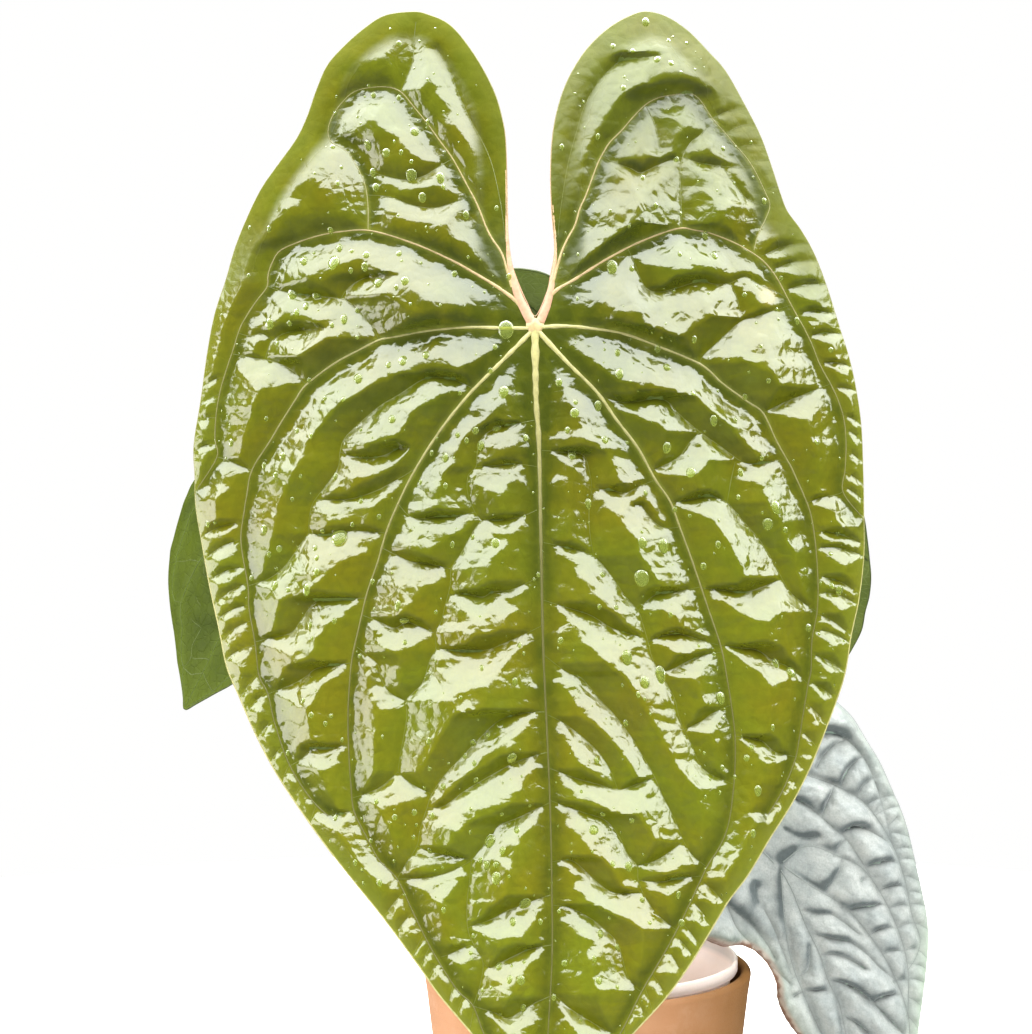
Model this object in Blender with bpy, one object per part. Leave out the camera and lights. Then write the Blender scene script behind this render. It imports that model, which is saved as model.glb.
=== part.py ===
"""Anthurium luxurians in a terracotta cover pot, at its real size.

Metres, +Z up, viewer towards +Y. The origin lies on the table under the pot's axis. Each leaf's lines are
drawn on an upright sheet, seen from one eye point, and lifted along the line of sight onto the leaf's own
curved surface: so a line keeps its place in the front view however the blade bends.
"""
import math
from dataclasses import dataclass

import bmesh
import bpy
import numpy as np
from mathutils import Matrix, Vector
from mathutils.geometry import delaunay_2d_cdt

# Eye and sheet: sheet points are (right, down) in sheet units, FOCAL units from the eye
EYE = Vector((-0.0264, -0.706, 0.284))
FOCAL = 1900.0
SHEET_CENTRE = (516.0, 517.0)

# Cover pot: a plain cone with a rounded lip
POT_HEIGHT = 0.118
POT_TOP_RADIUS = 0.0605
POT_FOOT_RADIUS = 0.0460
POT_WALL = 0.0038
POT_FLOOR = 0.0060
POT_EDGE = 0.0015
POT_COVE = 0.0030
ROUND_SEGMENTS = 48

# Nursery pot inside it: a cone up to its neck, then a collar that flares to an upright rim
LINER_TOP = 0.1220
LINER_TOP_RADIUS = 0.0556
LINER_FOOT_RADIUS = 0.0380
LINER_NECK = 0.1050
LINER_NECK_RADIUS = 0.0517
LINER_COLLAR = 0.1150
LINER_COLLAR_RADIUS = 0.0531
LINER_RIM = 0.0045
LINER_WALL = 0.0012
SEAT_GAP = 0.0003

# Filling and crown
MIX_TOP = 0.1000
MIX_EDGE = 0.0040
CROWN_RADIUS = 0.0105
CROWN_TOP = 0.1170
CROWN_EDGE = 0.0035
CROWN_DEPTH = 0.0160

# Stalks: sunk in the crown, thinning upwards, with a thick knee behind the blade
STALK_SOCKET = 0.0140
STALK_STRAIGHT = 0.0040
STALK_RADIUS = 0.0024
STALK_FOOT_SCALE = 1.12
STALK_END_SCALE = 0.90
STALK_STEPS = 12
KNEE_RADIUS = 0.0033
KNEE_LENGTH = 0.0120
KNEE_GAP = 0.0004

# Blades: the front one's real width and its width on the sheet set its distance from the eye
BLADE_THICKNESS = 0.0008
FRONT_WIDTH = 0.209
FRONT_UNITS = 668.0
FRONT_PLANE = EYE.y + FOCAL * FRONT_WIDTH / FRONT_UNITS
FRONT_LENGTH_UNITS = 805.0
NODE = (535.0, 325.0)
SEAT_OFFSET = 3.0

# Margin of the front leaf in sheet units, from the notch round the left side to the tip
MARGIN_LEFT = [
    (535.5, 316.5), (524, 290), (513.5, 269), (507.7, 248), (507, 209), (505.6, 146), (501.7, 118),
    (492.6, 89), (474, 55), (450.7, 26), (427, 14.4), (411.5, 12), (385, 15.7), (364, 28.8), (343.5, 47),
    (327.8, 65), (317, 89), (307, 117.7), (296, 140), (278, 165), (262, 188), (249, 214), (236, 246),
    (226, 280), (215, 314), (207.5, 353), (201, 400), (194, 445), (195, 475), (196, 506), (202, 542),
    (210, 586), (219, 627), (227, 666), (239, 695), (256, 734), (275, 770), (297, 804), (326, 845),
    (355, 882), (384, 918), (418, 964), (440, 995), (472, 1033), (500, 1068), (522, 1098), (545, 1130),
]
# The right side, from the notch to the tip
MARGIN_RIGHT = [
    (547, 293), (551, 274.6), (555, 248), (552, 209), (551, 170), (553.6, 131), (561.5, 97), (573, 70.6),
    (589, 47), (610, 27.5), (631, 15.7), (647, 11.8), (667, 17), (688, 31), (706.6, 50), (725, 70.6),
    (743, 102), (759, 133), (769, 159.5), (781, 196), (787.6, 212), (800.7, 230), (814, 253.7),
    (827, 287.7), (840, 329.5), (849, 358), (856, 390), (861, 426), (862.8, 469.7), (863.5, 511),
    (863.5, 554.5), (858.7, 598), (851, 634.5), (844, 675.7), (830, 717), (810.8, 765), (791, 804),
    (769.6, 838), (747.8, 874.5), (728, 901), (709, 932.6), (689.7, 964), (665, 998), (632, 1034),
    (603, 1067), (574, 1100),
]

# Main veins of the front leaf: midrib, then the left and right basal and collective veins
MAIN_VEINS = [
    [(535, 325), (536, 397), (539, 445), (541, 542), (543, 640), (547, 717), (551, 838), (552, 960),
     (548, 1034), (545, 1112)],
    [(533, 330), (502, 361), (471, 392), (447, 421), (427, 450), (410, 479), (396, 508), (377, 564),
     (359, 627), (349, 692), (348, 745), (354, 811), (367, 838), (379, 860), (397, 879), (423, 933),
     (457, 990), (473, 1006), (484, 1034), (505, 1066), (530, 1098)],
    [(537, 330), (568, 363), (597, 392), (616, 419), (638, 448), (655, 479), (672, 503), (689, 552),
     (708, 608), (721, 647), (732, 710), (735, 736), (733, 794), (728, 826), (719, 848), (707, 867),
     (692, 899), (677, 930), (661, 959), (641, 993), (618, 1036), (590, 1070), (560, 1102)],
    [(530, 328), (471, 327), (432, 330), (398, 336), (379, 340), (335, 363), (306, 385), (282, 421),
     (252, 470), (244, 513), (241, 542), (248, 586), (249, 608), (255, 642), (268, 694), (275, 724),
     (290, 766), (311, 799), (328, 816)],
    [(540, 327), (590, 328), (622, 333), (655, 345), (700, 364), (722, 383), (748, 402), (763, 413),
     (777, 442), (797, 480), (807, 503), (816, 550), (818, 585), (817, 612), (811, 665), (803, 715),
     (796, 757), (783, 790), (768, 815)],
    [(527, 320), (514, 305), (490, 288), (438, 256), (411, 244), (385, 234), (364, 229), (325, 233),
     (281, 250), (268, 275), (267, 287), (255, 303), (241, 326), (226, 371), (216, 410), (217, 457)],
    [(545, 312), (553, 293), (575, 279), (605, 260), (635, 244), (665, 232), (682, 228), (710, 233),
     (735, 243), (757, 256), (778, 280), (791, 305), (813, 347), (830, 384), (844, 420), (846, 455),
     (843, 492)],
    [(516, 306), (507, 275), (498, 248), (477, 204), (453, 159), (427, 123), (401, 92), (387, 87),
     (367, 88), (340, 105), (328, 130), (345, 150), (365, 185), (368, 207), (368, 229)],
    [(553, 293), (558, 262), (568, 240), (580, 208), (590, 180), (602, 156), (622, 130), (645, 104),
     (665, 96), (690, 93), (712, 120), (737, 147), (752, 166), (768, 206), (757, 236), (755, 254)],
]

# Cross veins of the front leaf
CROSS_VEINS = [
    [(401, 92), (413, 60), (415, 30)],
    [(368, 195), (390, 197), (425, 208), (458, 201), (475, 196)],
    [(379, 340), (363, 317), (341, 299), (300, 294), (267, 287)],
    [(306, 385), (284, 366), (253, 358), (231, 354)],
    [(252, 470), (232, 462), (217, 457)],
    [(474, 389), (445, 378), (420, 381), (380, 406), (345, 438), (338, 468), (313, 503), (309, 533)],
    [(309, 533), (286, 565), (248, 586)],
    [(309, 533), (353, 531), (386, 533)],
    [(366, 598), (315, 602), (291, 633), (255, 642)],
    [(351, 663), (318, 668), (268, 694)],
    [(348, 745), (313, 748), (290, 766)],
    [(354, 811), (328, 816)],
    [(536, 420), (500, 427), (480, 442), (476, 467), (468, 476), (468, 498), (482, 521)],
    [(538, 511), (500, 520), (482, 521), (466, 545), (451, 569), (448, 595), (434, 633)],
    [(451, 569), (412, 562), (382, 548)],
    [(448, 595), (483, 597), (510, 590), (541, 577)],
    [(434, 633), (436, 648), (475, 651), (505, 643), (543, 625)],
    [(434, 633), (407, 622), (366, 605)],
    [(436, 648), (423, 682), (406, 701), (407, 716), (398, 772)],
    [(357, 647), (378, 665), (390, 693), (406, 701)],
    [(353, 798), (382, 786), (398, 772), (432, 794)],
    [(546, 712), (500, 720), (462, 757), (432, 794), (417, 846), (397, 879)],
    [(417, 846), (450, 856), (472, 860)],
    [(549, 803), (498, 826), (472, 860), (467, 905), (475, 947), (483, 963), (480, 985), (473, 1006)],
    [(551, 895), (505, 912), (468, 928)],
    [(552, 945), (512, 957), (483, 963)],
    [(551, 997), (510, 1016), (473, 1006)],
    [(682, 228), (680, 172), (683, 156), (712, 120)],
    [(602, 156), (640, 173), (683, 156), (720, 166), (752, 166)],
    [(628, 249), (645, 287), (700, 281), (745, 277), (791, 303)],
    [(700, 364), (720, 340), (740, 322), (791, 305)],
    [(763, 413), (800, 396), (830, 384)],
    [(598, 393), (640, 401), (668, 402), (700, 432), (745, 463), (788, 463)],
    [(700, 432), (680, 456), (651, 471)],
    [(672, 503), (710, 496), (727, 503), (757, 537), (779, 577), (817, 612)],
    [(779, 577), (745, 592), (702, 588)],
    [(721, 645), (757, 650), (790, 668), (809, 684)],
    [(735, 736), (762, 741), (796, 757)],
    [(807, 503), (843, 492)],
    [(539, 450), (583, 455), (592, 489), (590, 525), (600, 560)],
    [(592, 489), (625, 493), (655, 480)],
    [(541, 545), (600, 560), (638, 611), (652, 658), (675, 700), (700, 765), (733, 786)],
    [(638, 611), (660, 593), (701, 588)],
    [(660, 673), (690, 660), (721, 651)],
    [(543, 657), (580, 677), (612, 712), (640, 752), (662, 795), (683, 842), (707, 867)],
    [(655, 778), (610, 790), (549, 770)],
    [(550, 800), (605, 820), (637, 866), (643, 893), (677, 930)],
    [(683, 842), (668, 853), (637, 866)],
    [(551, 862), (582, 868), (615, 893), (643, 893)],
    [(552, 905), (590, 918), (617, 942), (627, 975), (641, 993)],
    [(551, 993), (588, 1020), (618, 1036)],
]

# The two plain hind leaves keep only these veins of the front leaf's pattern
HIND_CROSS = [3, 6, 8, 13, 21, 23, 30, 34, 41, 44, 46, 49]

# Margin of the silver leaf in sheet units, from its notch round the right side
SILVER_MARGIN = [
    (777, 819), (783, 801), (787, 780), (789, 760), (792, 738), (799, 712), (813, 698), (828, 697),
    (842, 707), (854, 720), (866, 740), (880, 763), (892, 790), (900, 808), (907, 828), (914, 857),
    (922, 892), (927, 918), (928, 945), (925, 980), (920, 1018), (916, 1045), (911, 1072), (905, 1098),
    (899, 1124), (894, 1152), (878, 1128), (858, 1104), (836, 1078), (815, 1054), (797, 1034),
    (784, 1014), (778, 998), (777, 983), (770, 967), (758, 953), (743, 945), (725, 946), (710, 941),
    (697, 935), (688, 922), (683, 903), (683, 878), (688, 850), (696, 824), (707, 803), (721, 789),
    (736, 785), (750, 788), (762, 797), (771, 808),
]
SILVER_NODE = (781.0, 870.0)
SILVER_VEINS = [
    [(781, 870), (792, 890), (806, 925), (820, 955), (828, 980), (839, 1003), (846, 1034), (856, 1066),
     (872, 1108), (888, 1140)],
    [(785, 867), (810, 885), (838, 902), (855, 917), (880, 950), (896, 980), (908, 1015), (909, 1050),
     (900, 1095)],
    [(783, 862), (808, 846), (838, 856), (862, 868), (883, 897), (900, 935), (908, 970), (908, 1015)],
    [(782, 858), (793, 820), (800, 798), (822, 819), (845, 838), (862, 862), (883, 897)],
    [(793, 820), (803, 778), (832, 786), (858, 797), (874, 814), (893, 845), (905, 880), (912, 915),
     (908, 970)],
    [(803, 778), (812, 740), (832, 733), (858, 750), (876, 785), (893, 845)],
    [(808, 932), (850, 942), (875, 965), (896, 980)],
    [(828, 980), (850, 985), (880, 1010), (909, 1040)],
    [(842, 1015), (865, 1030), (900, 1075)],
    [(781, 873), (784, 915), (790, 955), (800, 985), (822, 1034), (850, 1074), (876, 1115)],
    [(776, 872), (750, 890), (728, 905), (736, 927), (757, 950), (790, 984)],
    [(774, 863), (750, 838), (726, 815), (706, 835), (697, 870), (712, 895), (728, 905)],
]


@dataclass(frozen=True)
class Bend:
    """How a blade lies in space: the world y of its surface behind a sheet point, in metres."""

    base: float
    centre: tuple
    across: tuple
    half_width: float
    turn: float
    sweep_left: float
    sweep_right: float
    lobe_reach: float
    lobe_lean: float
    lobe_twist: float
    tip_start: float
    tip_reach: float
    tip_curl: float
    pitch: float = 0.0

    def depth(self, x, y):
        """World y behind sheet points: turned, pitched, margins swept, lobes leaning and tip curling."""
        right_of, below = x - self.centre[0], y - self.centre[1]
        side = (right_of * self.across[0] + below * self.across[1]) / self.half_width
        left = np.clip(-side, 0.0, 1.3)
        right = np.clip(side, 0.0, 1.3)
        lobe = np.clip(-below / self.lobe_reach, 0.0, 1.2)
        tip = np.clip((y - self.tip_start) / self.tip_reach, 0.0, 1.2)
        return (self.base + self.turn * right_of + self.pitch * below
                + self.sweep_left * left ** 2 + self.sweep_right * right ** 2
                + (self.lobe_lean + self.lobe_twist * right) * lobe ** 2 + self.tip_curl * tip ** 2)


# Front leaf: leans back a little, its margins swept back and its tip coming forward
FRONT_BEND = Bend(base=FRONT_PLANE - 0.0065, centre=NODE, across=(1.0, 0.0), half_width=330.0, turn=0.0,
                  sweep_left=0.015, sweep_right=0.015, lobe_reach=314.0, lobe_lean=0.002, lobe_twist=0.010,
                  tip_start=500.0, tip_reach=630.0, tip_curl=-0.018, pitch=-0.00002)
# Left hind leaf: turned away to the left, its margins swept back and its tip hanging
LEFT_BEND = Bend(base=0.048, centre=(283.0, 489.0), across=(0.907, 0.420), half_width=84.0, turn=-0.0003,
                 sweep_left=0.005, sweep_right=0.005, lobe_reach=100.0, lobe_lean=0.006, lobe_twist=0.0,
                 tip_start=620.0, tip_reach=88.0, tip_curl=-0.005)
# Right hind leaf: slopes away on the far side of the pot, so that its under side faces the eye
RIGHT_BEND = Bend(base=0.080, centre=(631.6, 428.6), across=(1.0, 0.0), half_width=240.0, turn=0.0,
                  sweep_left=-0.004, sweep_right=-0.006, lobe_reach=160.0, lobe_lean=-0.004, lobe_twist=0.0,
                  tip_start=640.0, tip_reach=160.0, tip_curl=-0.014, pitch=0.00045)
# Silver leaf: beside the pot, its left half swept forward and its tip hanging
SILVER_BEND = Bend(base=-0.012, centre=SILVER_NODE, across=(1.0, 0.0), half_width=120.0, turn=0.0,
                   sweep_left=-0.030, sweep_right=0.007, lobe_reach=160.0, lobe_lean=0.008, lobe_twist=0.0,
                   tip_start=980.0, tip_reach=170.0, tip_curl=0.010)


def smooth_line(points, step, closed=False):
    """Even points along a smooth curve through the given ones."""
    knots = [np.array(p, float) for p in points]
    count = len(knots)
    dense = []
    for i in range(count if closed else count - 1):
        if closed:
            before, start, end, after = (knots[(i + k) % count] for k in (-1, 0, 1, 2))
        else:
            before, start, end, after = (knots[min(max(i + k, 0), count - 1)] for k in (-1, 0, 1, 2))
        for t in np.linspace(0.0, 1.0, 12, endpoint=False):
            dense.append(0.5 * (2 * start + (end - before) * t
                                + (2 * before - 5 * start + 4 * end - after) * t * t
                                + (3 * start - before - 3 * end + after) * t ** 3))
    dense.append(knots[0] if closed else knots[-1])
    dense = np.array(dense)
    along = np.concatenate([[0.0], np.cumsum(np.hypot(*np.diff(dense, axis=0).T))])
    pieces = max(int(round(along[-1] / step)), 1)
    where = np.linspace(0.0, along[-1], pieces + 1)
    even = np.stack([np.interp(where, along, dense[:, k]) for k in (0, 1)], axis=1)
    return even[:-1] if closed else even


def distance_to_lines(points, lines):
    """Distance in sheet units from each point to the nearest of the lines."""
    starts = np.concatenate([line[:-1] for line in lines])
    ends = np.concatenate([line[1:] for line in lines])
    run = ends - starts
    length = np.maximum((run ** 2).sum(axis=1), 1e-9)
    offset = points[:, None, :] - starts[None]
    t = np.clip((offset * run[None]).sum(axis=2) / length[None], 0.0, 1.0)
    return np.sqrt(((offset - t[..., None] * run[None]) ** 2).sum(axis=2).min(axis=1))


def inside(points, loop):
    """Which points lie inside a closed loop."""
    result = np.zeros(len(points), bool)
    for (x0, y0), (x1, y1) in zip(loop, np.roll(loop, -1, axis=0)):
        crosses = (y0 > points[:, 1]) != (y1 > points[:, 1])
        level = (x1 - x0) * (points[:, 1] - y0) / ((y1 - y0) or 1e-12) + x0
        result ^= crosses & (points[:, 0] < level)
    return result


class Blade:
    """A leaf blade: its lines on the sheet, its surface in space and the relief between its veins."""

    def __init__(self, name, margin, veins, node, bend, step, relief, reach, colour, roughness, facing=1.0):
        self.name = name
        self.margin = smooth_line(margin, step, closed=True)
        self.veins = [smooth_line(vein, step) for vein in veins]
        self.node = np.array(node, float) + (0.0, SEAT_OFFSET)
        self.bend = bend
        self.step = step
        self.relief = relief
        self.reach = reach
        self.colour = colour
        self.roughness = roughness
        self.facing = facing

    def surface(self, points):
        """Points of the smooth leaf surface behind sheet points."""
        away = self.bend.depth(points[:, 0], points[:, 1]) - EYE.y
        across = EYE.x + (points[:, 0] - SHEET_CENTRE[0]) * away / FOCAL
        up = EYE.z - (points[:, 1] - SHEET_CENTRE[1]) * away / FOCAL
        return np.stack([across, away + EYE.y, up], axis=1)

    def normals(self, points):
        """Unit normals on the blade's upper side: towards the eye, or away where facing is -1."""
        side, down = np.array([1.0, 0.0]), np.array([0.0, 1.0])
        right = self.surface(points + side) - self.surface(points - side)
        lower = self.surface(points + down) - self.surface(points - down)
        normal = np.cross(right, lower)
        normal /= np.linalg.norm(normal, axis=1)[:, None]
        towards = np.array(EYE) - self.surface(points)
        return normal * np.sign((normal * towards).sum(axis=1))[:, None] * self.facing

    def height(self, points):
        """Relief: zero along veins and margin, domed between them, flat round the stalk."""
        lines = self.veins + [np.vstack([self.margin, self.margin[:1]])]
        near = distance_to_lines(points, lines)
        calm = np.clip(np.linalg.norm(points - self.node, axis=1) / (2.5 * self.reach) - 0.4, 0.0, 1.0)
        return self.relief * (1.0 - np.exp(-near / self.reach)) * calm

    def sheet_mesh(self):
        """Triangles on the sheet that follow margin and veins."""
        step = self.step
        points = [tuple(p) for p in self.margin]
        rim = len(points)
        edges = []
        for vein in self.veins:
            last = None
            for p in vein:
                near = np.linalg.norm(np.array(points) - p, axis=1)
                index = int(near.argmin())
                if near[index] > 0.55 * step:
                    index = len(points)
                    points.append(tuple(p))
                if last is not None and index != last and not (index < rim and last < rim):
                    edges.append((last, index))
                last = index
        low, high = self.margin.min(axis=0), self.margin.max(axis=0)
        rows = []
        for row, y in enumerate(np.arange(low[1], high[1], step * 0.866)):
            shift = 0.5 * step * (row % 2)
            rows.extend((x, y) for x in np.arange(low[0] + shift, high[0], step))
        rows = np.array(rows)
        lines = self.veins + [np.vstack([self.margin, self.margin[:1]])]
        keep = inside(rows, self.margin) & (distance_to_lines(rows, lines) > 0.6 * step)
        points.extend(tuple(p) for p in rows[keep])
        found = delaunay_2d_cdt([Vector(p) for p in points], edges, [list(range(rim))], 1, 1e-4)
        flat = np.array([(v[0], v[1]) for v in found[0]])
        faces = []
        for face in found[2]:
            for k in range(1, len(face) - 1):
                faces.append((face[0], face[k], face[k + 1]))
        return flat, faces

    def build(self):
        """Closed blade: the upper face, the same triangles on the under face, and the rim between them."""
        flat, faces = self.sheet_mesh()
        normal = self.normals(flat)
        upper = self.surface(flat) + normal * self.height(flat)[:, None]
        under = upper - normal * BLADE_THICKNESS
        mesh = bmesh.new()
        top = [mesh.verts.new(p) for p in upper]
        low = [mesh.verts.new(p) for p in under]
        seen = {}
        for a, b, c in faces:
            turn = np.cross(upper[b] - upper[a], upper[c] - upper[a])
            if np.dot(turn, normal[a]) < 0:
                b, c = c, b
            mesh.faces.new((top[a], top[b], top[c]))
            mesh.faces.new((low[a], low[c], low[b]))
            for pair in ((a, b), (b, c), (c, a)):
                seen[pair] = True
        for a, b in list(seen):
            if (b, a) not in seen:
                mesh.faces.new((top[b], top[a], low[a]))
                mesh.faces.new((top[b], low[a], low[b]))
        loose = [v for v in mesh.verts if not v.link_faces]
        bmesh.ops.delete(mesh, geom=loose, context="VERTS")
        return add_mesh(self.name, mesh, self.colour, self.roughness)

    def seat(self, gap):
        """Point just behind the blade at its stalk, and the direction towards the blade there."""
        spot = self.node[None]
        normal = self.normals(spot)[0]
        behind = self.surface(spot)[0] - normal * (BLADE_THICKNESS + gap)
        return Vector(behind), Vector(normal)


def material(name, colour, roughness):
    """Plain Principled material."""
    made = bpy.data.materials.new(name)
    made.use_nodes = True
    shader = made.node_tree.nodes["Principled BSDF"]
    shader.inputs["Base Color"].default_value = (*colour, 1.0)
    shader.inputs["Roughness"].default_value = roughness
    shader.inputs["Metallic"].default_value = 0.0
    return made


def add_mesh(name, mesh, colour, roughness):
    """A named object with its own material from a bmesh."""
    data = bpy.data.meshes.new(name)
    mesh.to_mesh(data)
    mesh.free()
    data.shade_smooth()
    data.set_sharp_from_angle(angle=math.radians(40))
    piece = bpy.data.objects.new(name, data)
    piece.data.materials.append(material(name, colour, roughness))
    bpy.context.scene.collection.objects.link(piece)
    return piece


def turned(name, profile, colour, roughness, segments=ROUND_SEGMENTS):
    """A closed turned solid from a profile of (radius, height) that starts and ends on the axis."""
    mesh = bmesh.new()
    verts = [mesh.verts.new((radius, 0.0, height)) for radius, height in profile]
    edges = [mesh.edges.new(pair) for pair in zip(verts, verts[1:])]
    bmesh.ops.spin(mesh, geom=verts + edges, cent=(0, 0, 0), axis=(0, 0, 1), angle=2 * math.pi,
                   steps=segments, use_merge=True, use_duplicate=False)
    bmesh.ops.remove_doubles(mesh, verts=mesh.verts, dist=1e-6)
    bmesh.ops.dissolve_degenerate(mesh, edges=mesh.edges, dist=1e-7)
    bmesh.ops.recalc_face_normals(mesh, faces=mesh.faces)
    return add_mesh(name, mesh, colour, roughness)


@dataclass(frozen=True)
class Stalk:
    """How a stalk stands: its foot in the crown, its lean there, and the pull at each end of its arc."""

    name: str
    foot: tuple
    lean: tuple
    leave: float
    arrive: float
    droop: float

    def line(self, blade):
        """Points and radii: straight in the socket, then an arc that meets the blade from behind."""
        start = Vector((*self.foot, CROWN_TOP - STALK_SOCKET))
        rise = Vector(self.lean).normalized()
        mouth = start + rise * (STALK_SOCKET + STALK_STRAIGHT)
        end, facing = blade.seat(KNEE_GAP)
        knee = end - facing * KNEE_LENGTH
        span = (knee - mouth).length
        first = mouth + rise * span * self.leave
        second = knee - (facing * 0.75 + Vector((0, 0, self.droop))).normalized() * span * self.arrive
        points = [start, mouth]
        for t in np.linspace(0.0, 1.0, STALK_STEPS + 1)[1:]:
            s = 1.0 - t
            points.append(mouth * s ** 3 + first * 3 * s * s * t + second * 3 * s * t * t + knee * t ** 3)
        points.extend([knee + facing * KNEE_LENGTH / 3, knee + facing * KNEE_LENGTH * 2 / 3, end])
        radii = list(STALK_RADIUS * np.linspace(STALK_FOOT_SCALE, STALK_END_SCALE, len(points)))
        radii[-4:] = [STALK_RADIUS, KNEE_RADIUS, KNEE_RADIUS, KNEE_RADIUS * 0.86]
        return points, radii


def stalk(name, points, radii, colour):
    """A round stalk along points."""
    curve = bpy.data.curves.new(name, "CURVE")
    curve.dimensions = "3D"
    curve.bevel_depth = 1.0
    curve.bevel_resolution = 2
    curve.use_fill_caps = True
    spline = curve.splines.new("POLY")
    spline.points.add(len(points) - 1)
    for knot, place, radius in zip(spline.points, points, radii):
        knot.co = (*place, 1.0)
        knot.radius = radius
    piece = bpy.data.objects.new(name, curve)
    piece.data.materials.append(material(name, colour, 0.45))
    bpy.context.scene.collection.objects.link(piece)
    return piece


def socket(name, foot, mouth, radius):
    """A round cutter along a stalk's straight foot, a little deeper than the foot."""
    run = mouth - foot
    length = run.length + STALK_STRAIGHT / 2
    middle = foot + run.normalized() * (length / 2 - SEAT_GAP)
    turn = run.to_track_quat("Z", "Y").to_matrix().to_4x4()
    mesh = bmesh.new()
    bmesh.ops.create_cone(mesh, cap_ends=True, segments=12, radius1=radius, radius2=radius, depth=length,
                          matrix=Matrix.Translation(middle) @ turn)
    return add_mesh(name, mesh, (0.5, 0.5, 0.5), 0.5)


def cut(piece, cutter):
    """Subtract a hidden cutter."""
    cutter.hide_render = True
    cutter.display_type = "WIRE"
    boolean = piece.modifiers.new(cutter.name, "BOOLEAN")
    boolean.operation = "DIFFERENCE"
    boolean.solver = "EXACT"
    boolean.object = cutter


def hind(points, node, along, across):
    """The front leaf's lines on a hind leaf: along is its way to the tip, across its way to the right."""
    moved = []
    for x, y in points:
        side = (x - NODE[0]) / FRONT_LENGTH_UNITS
        down = (y - NODE[1]) / FRONT_LENGTH_UNITS
        moved.append((node[0] + side * across[0] + down * along[0],
                      node[1] + side * across[1] + down * along[1]))
    return moved


def clear_scene():
    """Remove what the new file starts with."""
    for piece in list(bpy.data.objects):
        bpy.data.objects.remove(piece, do_unlink=True)


def arc(centre, radius, first, last, steps):
    """Points of an arc in the (radius, height) plane between two angles in degrees."""
    angles = np.radians(np.linspace(first, last, steps + 1))
    return [(centre[0] + radius * math.cos(a), centre[1] + radius * math.sin(a)) for a in angles]


def liner_radius(height):
    """Outer radius of the nursery pot below its neck."""
    share = (height - POT_FLOOR) / (LINER_NECK - POT_FLOOR)
    return LINER_FOOT_RADIUS + (LINER_NECK_RADIUS - LINER_FOOT_RADIUS) * share


def build_pots():
    """Cover pot, nursery pot and filling, each closed and resting in the one outside it."""
    lip = POT_WALL / 2
    turned("outer_pot", [
        (0.0, 0.0),
        *arc((POT_FOOT_RADIUS - POT_EDGE, POT_EDGE), POT_EDGE, -90, 0, 2),
        *arc((POT_TOP_RADIUS - lip, POT_HEIGHT - lip), lip, 0, 180, 4),
        *arc((POT_FOOT_RADIUS - POT_WALL - POT_COVE, POT_FLOOR + POT_COVE), POT_COVE, 0, -90, 2),
        (0.0, POT_FLOOR),
    ], (0.72, 0.36, 0.20), 0.7)
    foot = POT_FLOOR + SEAT_GAP
    lip = LINER_WALL / 2
    turned("liner_pot", [
        (0.0, foot),
        (LINER_FOOT_RADIUS - LINER_WALL, foot),
        (LINER_FOOT_RADIUS, foot + LINER_WALL),
        (LINER_NECK_RADIUS, LINER_NECK),
        (LINER_COLLAR_RADIUS, LINER_COLLAR),
        (LINER_TOP_RADIUS, LINER_TOP - LINER_RIM),
        *arc((LINER_TOP_RADIUS - lip, LINER_TOP - lip), lip, 0, 180, 4),
        (LINER_COLLAR_RADIUS - LINER_WALL, LINER_COLLAR - LINER_WALL),
        (LINER_NECK_RADIUS - LINER_WALL, LINER_NECK),
        (LINER_FOOT_RADIUS - LINER_WALL, foot + 2 * LINER_WALL),
        (LINER_FOOT_RADIUS - 2 * LINER_WALL, foot + LINER_WALL),
        (0.0, foot + LINER_WALL),
    ], (0.75, 0.68, 0.64), 0.4)
    base = foot + LINER_WALL + SEAT_GAP
    inside_wall = LINER_WALL + 2 * SEAT_GAP
    mix = turned("potting_mix", [
        (0.0, base),
        (LINER_FOOT_RADIUS - inside_wall - LINER_WALL, base),
        (LINER_FOOT_RADIUS - inside_wall, base + 2 * LINER_WALL),
        (liner_radius(MIX_TOP - MIX_EDGE) - inside_wall, MIX_TOP - MIX_EDGE),
        (liner_radius(MIX_TOP - MIX_EDGE) - inside_wall - MIX_EDGE / 2, MIX_TOP),
        (0.0, MIX_TOP),
    ], (0.10, 0.065, 0.04), 0.95)
    cut(mix, turned("crown_hole", [
        (0.0, MIX_TOP - CROWN_DEPTH),
        (CROWN_RADIUS + SEAT_GAP, MIX_TOP - CROWN_DEPTH),
        (CROWN_RADIUS + SEAT_GAP, CROWN_TOP),
        (0.0, CROWN_TOP),
    ], (0.5, 0.5, 0.5), 0.5, segments=24))


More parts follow.
